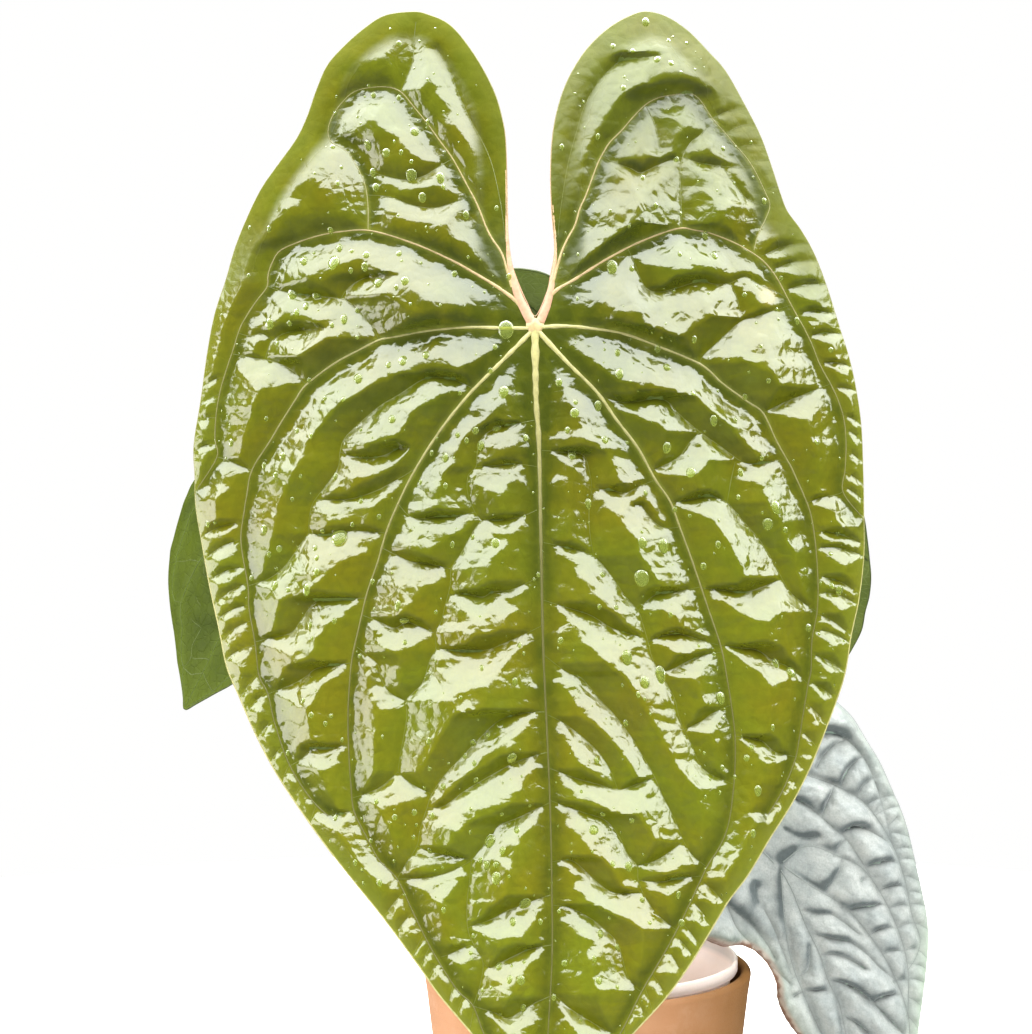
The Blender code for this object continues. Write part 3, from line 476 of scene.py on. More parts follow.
def add_values(piece: Object, name: str, values: np.ndarray) -> None:
    """Stores one number for each of the piece's points, for its finish to read."""
    attribute = piece.data.attributes.new(name, "FLOAT", "POINT")
    attribute.data.foreach_set("value", np.asarray(values, np.float32))


def round_faces(rings: int, spokes: int) -> list:
    """Faces of a closed round body: rings of corners from foot to top, then its foot's and its top's centre.

    Args:
        rings: Number of rings.
        spokes: Corners in a ring, anticlockwise as seen from the top.

    Returns:
        The faces, facing outwards.
    """
    foot = rings * spokes
    end = foot - spokes
    faces = []
    for k in range(spokes):
        n = (k + 1) % spokes
        faces += [(row + k, row + n, row + spokes + n, row + spokes + k) for row in range(0, end, spokes)]
        faces += [(foot, n, k), (foot + 1, end + k, end + n)]
    return faces


def taken(block: Object) -> tuple:
    """Corners and faces of a scratch block, which is then removed."""
    corners = np.array([v.co for v in block.data.vertices])
    faces = [tuple(p.vertices) for p in block.data.polygons]
    bpy.data.objects.remove(block, do_unlink=True)
    return corners, faces


class Heap:
    """Collects closed bodies into one mesh, with the values that its finish reads."""

    def __init__(self) -> None:
        """Starts empty."""
        self.points: list = []
        self.faces: list = []
        self.values: dict = {}
        self.count = 0

    def add(self, corners: np.ndarray, faces: list, **values) -> None:
        """Adds one body.

        Args:
            corners: Its corners, in metres.
            faces: Its faces, as tuples of its own corner numbers.
            values: Values by name, one number or one for each corner.
        """
        self.points.append(corners)
        self.faces += [tuple(corner + self.count for corner in face) for face in faces]
        for name, value in values.items():
            self.values.setdefault(name, []).append(np.broadcast_to(value, len(corners)))
        self.count += len(corners)

    def build(self, name: str, finish: Material, crease: float = 60.0) -> Object:
        """The mesh of all bodies.

        Args:
            name: The piece's name.
            finish: Its material.
            crease: Angle in degrees past which an edge stays sharp.

        Returns:
            The piece.
        """
        piece = make_object(name, np.vstack(self.points), self.faces, [finish], crease=crease)
        for key, parts in self.values.items():
            add_values(piece, key, np.concatenate(parts))
        return piece


class Tubes(Heap):
    """Round cords that lie on a surface."""

    def lay(self, path: np.ndarray, up: np.ndarray, radii: np.ndarray, sides: int, flat: float = 1.0,
            age=0.0, blush=0.0, ribs: float = 0.0) -> None:
        """Adds one closed cord.

        Args:
            path: Its centre line, in metres.
            up: Direction of its top at each point.
            radii: Its half width at each point.
            sides: Corners of its round.
            flat: Its height as a share of its width.
            age: Value for the finish, one number or one for each point.
            blush: Value for the finish, one number or one for each point.
            ribs: How far six ribs stand out, as a share of its width.
        """
        way = np.gradient(path, axis=0)
        way /= np.maximum(np.linalg.norm(way, axis=1), 1e-9)[:, None]
        side = np.cross(way, up)
        side /= np.maximum(np.linalg.norm(side, axis=1), 1e-9)[:, None]
        top = np.cross(side, way) * flat
        turn = np.linspace(0.0, 2 * math.pi, sides, endpoint=False)[None, :, None]
        ring = (side[:, None] * np.cos(turn) + top[:, None] * np.sin(turn)) * radii[:, None, None]
        body = (path[:, None] + ring * (1.0 + ribs * np.cos(6 * turn))).reshape(-1, 3)
        values = {}
        for name, value in (("age", age), ("blush", blush)):
            spread = np.repeat(np.broadcast_to(value, len(path)), sides)
            values[name] = np.append(spread, spread[[0, -1]])
        self.add(np.vstack([body, path[:1], path[-1:]]), round_faces(len(path), sides), **values)


class NodeBench:
    """Short way to lay out a material's nodes."""

    def __init__(self, name: str) -> None:
        """Args: name: the material's name."""
        self.material = bpy.data.materials.new(name)
        self.material.use_nodes = True
        self.tree = self.material.node_tree
        self.shader = self.tree.nodes["Principled BSDF"]
        self.place = self.add("ShaderNodeTexCoord").outputs["Object"]

    def add(self, kind: str, feeds: Optional[dict] = None, **settings) -> Node:
        """A new node with its settings set and its sockets fed, each by its name or number."""
        node = self.tree.nodes.new(kind)
        for key, value in settings.items():
            setattr(node, key, value)
        for key, value in (feeds or {}).items():
            self.feed(node.inputs[key], value)
        return node

    def feed(self, socket: NodeSocket, value) -> None:
        """Links a socket to another, or sets its number or colour. None leaves it as it is."""
        if value is None:
            return
        if isinstance(value, NodeSocket):
            self.tree.links.new(value, socket)
        elif isinstance(value, tuple) and len(value) == 3 and socket.type == "RGBA":
            socket.default_value = (*value, 1.0)
        else:
            socket.default_value = value

    def sum(self, operation: str, *values) -> NodeSocket:
        """Result of a Math node."""
        return self.add("ShaderNodeMath", dict(enumerate(values)), operation=operation).outputs[0]

    def blend(self, share, first, second) -> NodeSocket:
        """Colour between two, by a share from 0 to 1."""
        return self.add("ShaderNodeMix", {0: share, 6: first, 7: second}, data_type="RGBA").outputs[2]

    def layers(self, ground, *coats: tuple) -> NodeSocket:
        """A ground colour with coats over it, each a share and a colour."""
        for share, colour in coats:
            ground = self.blend(share, ground, colour)
        return ground

    def noise(self, scale: float, detail: float = 4.0, roughness: float = 0.55) -> NodeSocket:
        """Noise in object space, features per metre."""
        feeds = {"Vector": self.place, "Scale": scale, "Detail": detail, "Roughness": roughness}
        return self.add("ShaderNodeTexNoise", feeds).outputs["Fac"]

    def patch(self, scale: float, low: float, high: float, to_low: float = 0.0, to_high: float = 1.0,
              detail: float = 4.0, roughness: float = 0.55) -> NodeSocket:
        """Noise carried from one range onto another."""
        return self.between(self.noise(scale, detail, roughness), low, high, to_low, to_high)

    def cells(self, scale: float, feature: str = "DISTANCE_TO_EDGE") -> NodeSocket:
        """Cell pattern in object space: distance to a cell's edge, or to its centre."""
        feeds = {"Vector": self.place, "Scale": scale}
        return self.add("ShaderNodeTexVoronoi", feeds, feature=feature).outputs["Distance"]

    def between(self, value, low: float, high: float, to_low: float = 0.0,
                to_high: float = 1.0) -> NodeSocket:
        """Value carried from one range onto another, and held there."""
        feeds = dict(enumerate((value, low, high, to_low, to_high)))
        return self.add("ShaderNodeMapRange", feeds, clamp=True).outputs[0]

    def read(self, name: str) -> NodeSocket:
        """A value that the piece's points carry."""
        return self.add("ShaderNodeAttribute", attribute_name=name).outputs["Fac"]

    def axis(self, name: str) -> NodeSocket:
        """One coordinate in object space."""
        return self.add("ShaderNodeSeparateXYZ", {0: self.place}).outputs[name]

    def skin(self, *bumps: tuple) -> NodeSocket:
        """Normal of bumps over one another, each a height from 0 to 1 and what 1 is in metres."""
        normal = None
        for height, distance in bumps:
            feeds = {"Strength": 1.0, "Distance": distance, "Height": height, "Normal": normal}
            normal = self.add("ShaderNodeBump", feeds).outputs["Normal"]
        return normal

    def finish(self, **sockets) -> Material:
        """Sets the shader's sockets, named with _ for a space, and gives the material."""
        for key, value in sockets.items():
            self.feed(self.shader.inputs[key.replace("_", " ")], value)
        return self.material


@dataclass(frozen=True)
class GlossyLeaf:
    """Waxy front leaf top: olive, dark green by main veins, paler at the edge, with painted shade below its
    domes.
    """

    olive: tuple = (0.092, 0.104, 0.005)
    brown: tuple = (0.106, 0.098, 0.004)
    # Dark green by the main veins and the node, also used as painted shade on the domes' lower slopes
    deep_green_and_shade: tuple = (0.033, 0.041, 0.003)
    edge: tuple = (0.120, 0.130, 0.015)
    vein: tuple = (0.150, 0.160, 0.030)
    fleck: tuple = (0.260, 0.190, 0.040)
    roughness: float = 0.10
    matt_gain: float = 0.36

    def build(self) -> Material:
        """The material."""
        bench = NodeBench("glossy_leaf")
        # The darkening read here is partly painted shade on the domes' lower slopes
        ragged = bench.sum("MULTIPLY", bench.read("deep_green_and_shade"), bench.patch(150.0, 0.3, 0.6, 0.55, 1.15))
        ground = bench.layers(
            self.olive, (bench.patch(38.0, 0.38, 0.62, detail=3.0), self.brown),
            (bench.patch(420.0, 0.3, 0.7, 0.0, 0.30, 5.0), self.deep_green_and_shade), (bench.read("edge"), self.edge),
            (ragged, self.deep_green_and_shade), (bench.read("spot"), self.fleck), (bench.read("halo"), self.vein))
        rough = bench.patch(160.0, 0.3, 0.7, self.roughness, self.roughness + 0.06, 3.0)
        rough = bench.sum("ADD", rough, bench.sum("MULTIPLY", bench.read("matt"), self.matt_gain))
        skin = bench.skin((bench.between(bench.cells(235.0), 0.0, 0.30), 0.00009),
                          (bench.noise(560.0, 3.0, 0.5), 0.00009), (bench.noise(150.0, 2.0), 0.0003))
        gloss = bench.between(bench.read("matt"), 0.0, 1.0, 0.85, 0.02)
        return bench.finish(Base_Color=ground, Roughness=rough, Normal=skin, Specular_IOR_Level=gloss)


@dataclass(frozen=True)
class LeafUnderside:
    """Matt under side of a leaf, with its fine net."""

    name: str
    body: tuple
    shade: tuple
    net: tuple
    roughness: float = 0.48

    def build(self) -> Material:
        """The material."""
        bench = NodeBench(self.name)
        lines = bench.between(bench.cells(240.0), 0.0, 0.09, 0.75, 0.0)
        ground = bench.layers(self.body, (bench.patch(45.0, 0.35, 0.65), self.shade), (lines, self.net),
                              (bench.read("halo"), self.net))
        rough = bench.patch(200.0, 0.3, 0.7, self.roughness - 0.06, self.roughness + 0.06)
        skin = bench.skin((lines, 0.00015), (bench.noise(600.0), 0.0002))
        return bench.finish(Base_Color=ground, Roughness=rough, Normal=skin, Specular_IOR_Level=0.25)


@dataclass(frozen=True)
class DarkLeaf:
    """Upper side of the hind leaves: dark green and half glossy."""

    dark: tuple = (0.026, 0.038, 0.002)
    light: tuple = (0.047, 0.063, 0.002)
    vein: tuple = (0.058, 0.080, 0.005)
    roughness: float = 0.46

    def build(self) -> Material:
        """The material."""
        bench = NodeBench("dark_leaf")
        ground = bench.layers(self.dark, (bench.patch(30.0, 0.35, 0.65), self.light),
                              (bench.read("edge"), self.light), (bench.read("halo"), self.vein))
        rough = bench.patch(150.0, 0.3, 0.7, self.roughness, self.roughness + 0.12)
        pores = bench.between(bench.cells(230.0), 0.0, 0.1)
        skin = bench.skin((pores, 0.00012), (bench.noise(480.0), 0.0002))
        return bench.finish(Base_Color=ground, Roughness=rough, Normal=skin, Specular_IOR_Level=0.12)


@dataclass(frozen=True)
class SilverLeaf:
    """Velvety silver-blue upper side: painted shade in grooves and below puffs, a greenish edge and a dry
    brown rim.
    """

    crest: tuple = (0.305, 0.312, 0.300)
    slope: tuple = (0.195, 0.212, 0.212)
    # Painted shade colour for grooves, creases and the puffs' lower sides; it also darkens a fine speckle
    groove_shade: tuple = (0.026, 0.038, 0.042)
    edge: tuple = (0.235, 0.285, 0.220)
    dry: tuple = (0.150, 0.065, 0.035)
    pink: tuple = (0.400, 0.250, 0.210)
    roughness: float = 0.46

    def build(self) -> Material:
        """The material."""
        bench = NodeBench("silver_leaf")
        # Painted shade goes on in the grooves, creases and lower sides of the puffs, as the blade's values
        # say
        ground = bench.layers(
            self.crest, (bench.patch(85.0, 0.35, 0.68, detail=5.0, roughness=0.65), self.slope),
            (bench.read("painted_shade"), self.groove_shade),
            (bench.patch(1500.0, 0.35, 0.75, 0.0, 0.28, 3.0, 0.7), self.groove_shade),
            (bench.read("edge"), self.edge), (bench.read("blush"), self.pink), (bench.read("dry"), self.dry))
        rough = bench.patch(260.0, 0.3, 0.7, self.roughness - 0.08, self.roughness + 0.08)
        skin = bench.skin((bench.noise(1300.0, 3.0, 0.7), 0.00012), (bench.noise(330.0), 0.0005))
        return bench.finish(Base_Color=ground, Roughness=rough, Normal=skin, Sheen_Weight=0.25,
                            Sheen_Roughness=0.4, Sheen_Tint=(1.0, 1.0, 1.0))


@dataclass(frozen=True)
class VeinCord:
    """Pale raised veins: yellow near the node, dull cream further out, and pink along the notch."""

    name: str
    near: tuple
    far: tuple
    pink: tuple
    roughness: float = 0.36

    def build(self) -> Material:
        """The material."""
        bench = NodeBench(self.name)
        ground = bench.layers(self.near, (bench.read("age"), self.far), (bench.read("blush"), self.pink),
                              (bench.patch(700.0, 0.4, 0.7, 0.0, 0.35), self.far))
        skin = bench.skin((bench.noise(1100.0, 3.0), 0.0001))
        return bench.finish(Base_Color=ground, Roughness=self.roughness, Normal=skin)


@dataclass(frozen=True)
class Water:
    """Clear water of the drops, which gathers the leaf's green."""

    tint: tuple = (0.270, 0.320, 0.070)
    refraction: float = 1.33

    def build(self) -> Material:
        """The material."""
        return NodeBench("water").finish(Base_Color=self.tint, Roughness=0.03, IOR=self.refraction,
                                         Transmission_Weight=0.70)


@dataclass(frozen=True)
class StalkSkin:
    """Smooth green stalk with faint pale flecks, and a browner knee and foot."""

    green: tuple = (0.105, 0.150, 0.035)
    pale: tuple = (0.200, 0.230, 0.085)
    brown: tuple = (0.120, 0.080, 0.035)

    def build(self) -> Material:
        """The material."""
        bench = NodeBench("stalk_skin")
        flecks = bench.between(bench.cells(520.0, "F1"), 0.12, 0.22, 0.6, 0.0)
        ground = bench.layers(self.green, (bench.patch(150.0, 0.35, 0.7), self.pale), (flecks, self.pale),
                              (bench.read("age"), self.brown))
        skin = bench.skin((bench.noise(900.0, 3.0), 0.00012))
        return bench.finish(Base_Color=ground, Roughness=0.38, Normal=skin)


@dataclass(frozen=True)
class Terracotta:
    """Unglazed peach clay: fine grain, faint throwing rings, cloudy lighter bloom, painted shade on its
    right.
    """

    clay: tuple = (0.345, 0.170, 0.090)
    warm: tuple = (0.290, 0.134, 0.062)
    bloom: tuple = (0.420, 0.260, 0.180)
    # Painted shade colour, laid on towards the pot's right side (+X)
    right_side_shade: tuple = (0.112, 0.046, 0.006)
    roughness: float = 0.72

    def build(self) -> Material:
        """The material."""
        bench = NodeBench("terracotta")
        cloud = bench.patch(22.0, 0.36, 0.66, detail=5.0, roughness=0.6)
        grit = bench.between(bench.cells(1400.0, "F1"), 0.05, 0.16, 0.45, 0.0)
        # Painted shade: this share grows with X, so the clay gets darker towards its right side
        right_side_shade = bench.sum("ADD", bench.axis("X"), bench.patch(16.0, 0.3, 0.7, -0.010, 0.010))
        ground = bench.layers(
            self.clay, (cloud, self.warm), (bench.patch(60.0, 0.52, 0.78, 0.0, 0.55, 6.0, 0.7), self.bloom),
            (grit, self.warm), (bench.between(right_side_shade, 0.002, 0.052, 0.0, 0.92), self.right_side_shade))
        rings = bench.sum("SINE", bench.sum("MULTIPLY", bench.axis("Z"), 2600.0))
        skin = bench.skin((rings, 0.00002), (bench.noise(1500.0, 4.0, 0.7), 0.00016))
        rough = bench.between(cloud, 0.0, 1.0, self.roughness - 0.05, self.roughness + 0.08)
        return bench.finish(Base_Color=ground, Roughness=rough, Normal=skin, Specular_IOR_Level=0.2)


@dataclass(frozen=True)
class MilkyPlastic:
    """Thin whitish plastic that lets some light through, faintly scuffed, with painted shade darkening its
    top.
    """

    # Painted shade: darker colour for the top millimetres, which take the most light
    rim: tuple = (0.500, 0.425, 0.400)
    wall: tuple = (0.780, 0.590, 0.530)
    stain: tuple = (0.640, 0.450, 0.400)
    top_shade_start: float = 0.1165
    top_shade_end: float = 0.1185
    roughness: float = 0.40

    def build(self) -> Material:
        """The material."""
        bench = NodeBench("milky_plastic")
        # Painted shade: above this height range the top takes the darker colour
        upper = bench.between(bench.axis("Z"), self.top_shade_start, self.top_shade_end)
        ground = bench.layers(self.wall, (bench.patch(35.0, 0.45, 0.75, 0.0, 0.6), self.stain),
                              (upper, self.rim))
        scuff = bench.patch(420.0, 0.4, 0.7, self.roughness, self.roughness + 0.2, 5.0, 0.7)
        skin = bench.skin((bench.noise(900.0, 3.0), 0.00004))
        return bench.finish(Base_Color=ground, Roughness=scuff, Normal=skin, Subsurface_Weight=0.25,
                            Subsurface_Radius=(0.004, 0.003, 0.002), Subsurface_Scale=1.0)


@dataclass(frozen=True)
class Crumb:
    """Bark, fibre or perlite: one material whose shade each piece carries."""

    name: str
    dark: tuple
    light: tuple
    grain: float
    roughness: float = 0.85

    def build(self) -> Material:
        """The material."""
        bench = NodeBench(self.name)
        streak = bench.patch(self.grain, 0.35, 0.7, 0.0, 0.6, 5.0, 0.7)
        ground = bench.layers(self.dark, (bench.read("age"), self.light), (streak, self.dark))
        skin = bench.skin((bench.noise(self.grain * 2, 4.0, 0.7), 0.0004))
        return bench.finish(Base_Color=ground, Roughness=self.roughness, Normal=skin)


@dataclass(frozen=True)
class Bend:
    """How a blade lies in space: the world y of its surface behind a sheet point, in metres."""

    base: float
    centre: tuple
    half_width: float
    sweep_left: float
    sweep_right: float
    lobe_reach: float
    lobe_lean: float
    tip_start: float
    tip_reach: float
    tip_curl: float
    across: tuple = (1.0, 0.0)
    turn: float = 0.0
    pitch: float = 0.0
    lobe_twist: float = 0.0

    def depth(self, points: np.ndarray) -> np.ndarray:
        """World y behind sheet points: turned, pitched, margins swept, lobes leaning and tip curling."""
        right_of, below = points[:, 0] - self.centre[0], points[:, 1] - self.centre[1]
        side = (right_of * self.across[0] + below * self.across[1]) / self.half_width
        left = np.clip(-side, 0.0, 1.3)
        right = np.clip(side, 0.0, 1.3)
        lobe = np.clip(-below / self.lobe_reach, 0.0, 1.2)
        tip = np.clip((points[:, 1] - self.tip_start) / self.tip_reach, 0.0, 1.2)
        return (self.base + self.turn * right_of + self.pitch * below
                + self.sweep_left * left ** 2 + self.sweep_right * right ** 2
                + (self.lobe_lean + self.lobe_twist * right) * lobe ** 2 + self.tip_curl * tip ** 2)


FRONT_BEND = Bend(base=FRONT_PLANE - 0.0065, centre=NODE, half_width=330.0, sweep_left=0.015,
                  sweep_right=0.015, lobe_reach=314.0, lobe_lean=0.002, lobe_twist=0.010, tip_start=500.0,
                  tip_reach=630.0, tip_curl=-0.018, pitch=-0.00002)
LEFT_BEND = Bend(base=0.048, centre=(283.0, 489.0), across=(0.907, 0.420), half_width=84.0, turn=-0.0003,
                 sweep_left=0.005, sweep_right=0.005, lobe_reach=100.0, lobe_lean=0.006, tip_start=620.0,
                 tip_reach=88.0, tip_curl=-0.005)
RIGHT_BEND = Bend(base=0.080, centre=(631.6, 428.6), half_width=240.0, sweep_left=-0.004,
                  sweep_right=-0.006, lobe_reach=160.0, lobe_lean=-0.004, tip_start=640.0, tip_reach=160.0,
                  tip_curl=-0.014, pitch=0.00045)
SILVER_BEND = Bend(base=-0.012, centre=SILVER_NODE, half_width=120.0, sweep_left=-0.030, sweep_right=0.007,
                   lobe_reach=160.0, lobe_lean=0.008, tip_start=980.0, tip_reach=170.0, tip_curl=0.010)


class Rank(Enum):
    """What a vein is on its leaf: its share in the net, and how deep it holds the skin."""

    MAIN = 0
    CROSS = 1
    FINE = 2


@dataclass
class Vein:
    """One vein on the sheet, with the radius of its cord in metres at its start and its end."""

    points: list
    rank: Rank
    start: float
    end: float
    fade: float = 1.0
    pink: float = 0.0
    aging: float = 1.0


@dataclass
class Relief:
    """How a leaf's skin is quilted: heights in metres, and lengths in sheet units."""

    dome: float
    reach: float
    valley: float
    lump: float
    lumpiness: float
    pitch: float = 1.0
    rounds: int = 110
    bank: float = 6.0
    cell: float = 20.0
    pillow: float = 0.0
    crease: float = 4.5
    crumple: float = 0.0
    drift: tuple = (0.0, 0.0)
    calm: tuple = (0.0, 0.0)
    strip: float = 0.0
    lively: float = 0.0
    steepest: tuple = (1.0, 1.0, 1.0)

    def calm_share(self, points: np.ndarray) -> np.ndarray:
        """How calm the skin is at sheet points: only high on the leaf, and different left and right."""
        right = ramp(points[:, 0], *CALM_RIGHT)
        return (self.calm[0] * (1.0 - right) + self.calm[1] * right) * ramp(points[:, 1], *CALM_UP)


class DomeField:
    """Height of a skin that is held down along the veins and pushed up between them."""

    CEILING_ROUNDS = 60
    RIM_CELLS = 40

    def __init__(self, margin: np.ndarray, lines: list, shelf: np.ndarray, relief: Relief, seed: int) -> None:
        """Solves the skin on a grid.

        Args:
            margin: Closed outline on the sheet.
            lines: Veins that hold the skin down.
            shelf: Points of the flat shelves beside the main veins.
            relief: How strongly the skin is quilted.
            seed: Seed of the lumps.
        """
        self.pitch = relief.pitch
        self.low = margin.min(axis=0) - 3 * self.pitch
        span = (margin.max(axis=0) + 3 * self.pitch - self.low) / self.pitch
        shape = (int(span[1]) + 2, int(span[0]) + 2)
        held = np.zeros(shape, bool)
        rims = [smooth_line(line, 0.4 * self.pitch) for line in lines + [np.vstack([margin, margin[:1]])]]
        for spots in rims + [shelf]:
            cell = np.clip(np.rint((spots - self.low) / self.pitch).astype(int), 0, np.array(shape[::-1]) - 1)
            held[cell[:, 1], cell[:, 0]] = True
        held[[0, -1]] = True
        held[:, [0, -1]] = True
        rows, cols = np.indices(shape)
        places = np.stack([cols.ravel(), rows.ravel()], axis=1) * self.pitch + self.low
        lumps = 1.0 + relief.lumpiness * ripple(places, relief.lump, seed).reshape(shape)
        lumps += 0.5 * relief.lumpiness * ripple(places, 2.4 * relief.lump, seed + 1).reshape(shape)
        stiff = (self.pitch / relief.reach) ** 2
        calm = relief.calm_share(places).reshape(shape)
        rim = self.rim_share(margin, shape)
        upper = ramp(places[:, 1], *EVEN_UP).reshape(shape) * math.ceil(relief.calm[0])
        lumps *= (1.0 - 0.4 * calm) * (1.0 + relief.strip * rim) * (1.0 - 0.95 * upper * rim)
        lively = ramp(places[:, 0], *LIVELY_RIGHT) * ramp(places[:, 1], *LIVELY_DOWN)
        lumps *= 1.0 + relief.lively * lively.reshape(shape)
        push = (relief.dome * stiff * lumps).astype(np.float32)[1:-1, 1:-1]
        even = (rows + cols) % 2 == 0
        masks = [((~held) & side)[1:-1, 1:-1].astype(np.float32) for side in (even, ~even)]
        height = np.zeros(shape, np.float32)
        pull = 2.0 / (1.0 + math.sin(math.pi / 60.0 * self.pitch))
        turned = (1.0 - 1.15 * calm[1:-1, 1:-1]).astype(np.float32)
        across, down = (0.5 * self.pitch * relief.drift[axis] * turned for axis in (0, 1))
        for _ in range(relief.rounds):
            for mask in masks:
                around = (height[:-2, 1:-1] * (1.0 + down) + height[2:, 1:-1] * (1.0 - down)
                          + height[1:-1, :-2] * (1.0 + across) + height[1:-1, 2:] * (1.0 - across))
                height[1:-1, 1:-1] += pull * mask * ((around + push) / (4.0 + stiff) - height[1:-1, 1:-1])
        self.height = np.minimum(height, self.ceiling(held, relief.steepest))

    def ceiling(self, held: np.ndarray, steepest: tuple) -> np.ndarray:
        """Greatest height over the grid, for the steepest rises across, from above and from below."""
        limit = np.where(held, 0.0, 1.0).astype(np.float32)
        for _ in range(self.CEILING_ROUNDS):
            for axis, way, rise in ((1, -1, 0), (1, 1, 0), (0, 1, 1), (0, -1, 2)):
                limit = np.minimum(limit, np.roll(limit, way, axis=axis) + steepest[rise] * self.pitch)
        return limit

    def rim_share(self, margin: np.ndarray, shape: tuple) -> np.ndarray:
        """Nearness of the margin over the grid: 1 on it, 0 further than RIM_CELLS away."""
        share = np.zeros(shape)
        line = smooth_line(margin, 0.4 * self.pitch, closed=True)
        cell = np.rint((line - self.low) / self.pitch).astype(int)
        share[cell[:, 1], cell[:, 0]] = 1.0
        for _ in range(self.RIM_CELLS):
            for axis in (0, 1):
                for way in (-1, 1):
                    share = np.maximum(share, np.roll(share, way, axis=axis) - 1.0 / self.RIM_CELLS)
        return share

    def look(self, points: np.ndarray) -> np.ndarray:
        """Height at sheet points, in metres."""
        where = (points - self.low) / self.pitch
        top = np.array(self.height.shape[::-1]) - 1.001
        where = np.clip(where, 0.0, top)
        base = where.astype(int)
        part = where - base
        col, row = base[:, 0], base[:, 1]
        upper = self.height[row, col] * (1 - part[:, 0]) + self.height[row, col + 1] * part[:, 0]
        lower = self.height[row + 1, col] * (1 - part[:, 0]) + self.height[row + 1, col + 1] * part[:, 0]
        return upper * (1 - part[:, 1]) + lower * part[:, 1]


class Pillows:
    """Small cushions between the finest veins: cells of an uneven grid, creased where they meet."""

    def __init__(self, margin: np.ndarray, size: float, seed: int) -> None:
        """Args: margin: outline on the sheet. size: distance between cells. seed: seed of their places."""
        rng = np.random.default_rng(seed)
        low, high = margin.min(axis=0) - 2 * size, margin.max(axis=0) + 2 * size
        cols, rows = np.meshgrid(np.arange(low[0], high[0], size), np.arange(low[1], high[1], 0.8 * size))
        cols[1::2] += 0.5 * size
        centres = np.stack([cols.ravel(), rows.ravel()], axis=1)
        centres += rng.uniform(-0.40, 0.40, size=centres.shape) * size
        self.tree = search_tree(centres)

    def edge_gap(self, points: np.ndarray) -> np.ndarray:
        """Distance from sheet points to the nearest crease, about."""
        found = [self.tree.find_n((x, y, 0.0), 2) for x, y in points]
        return np.array([0.5 * (second[2] - first[2]) for first, second in found])


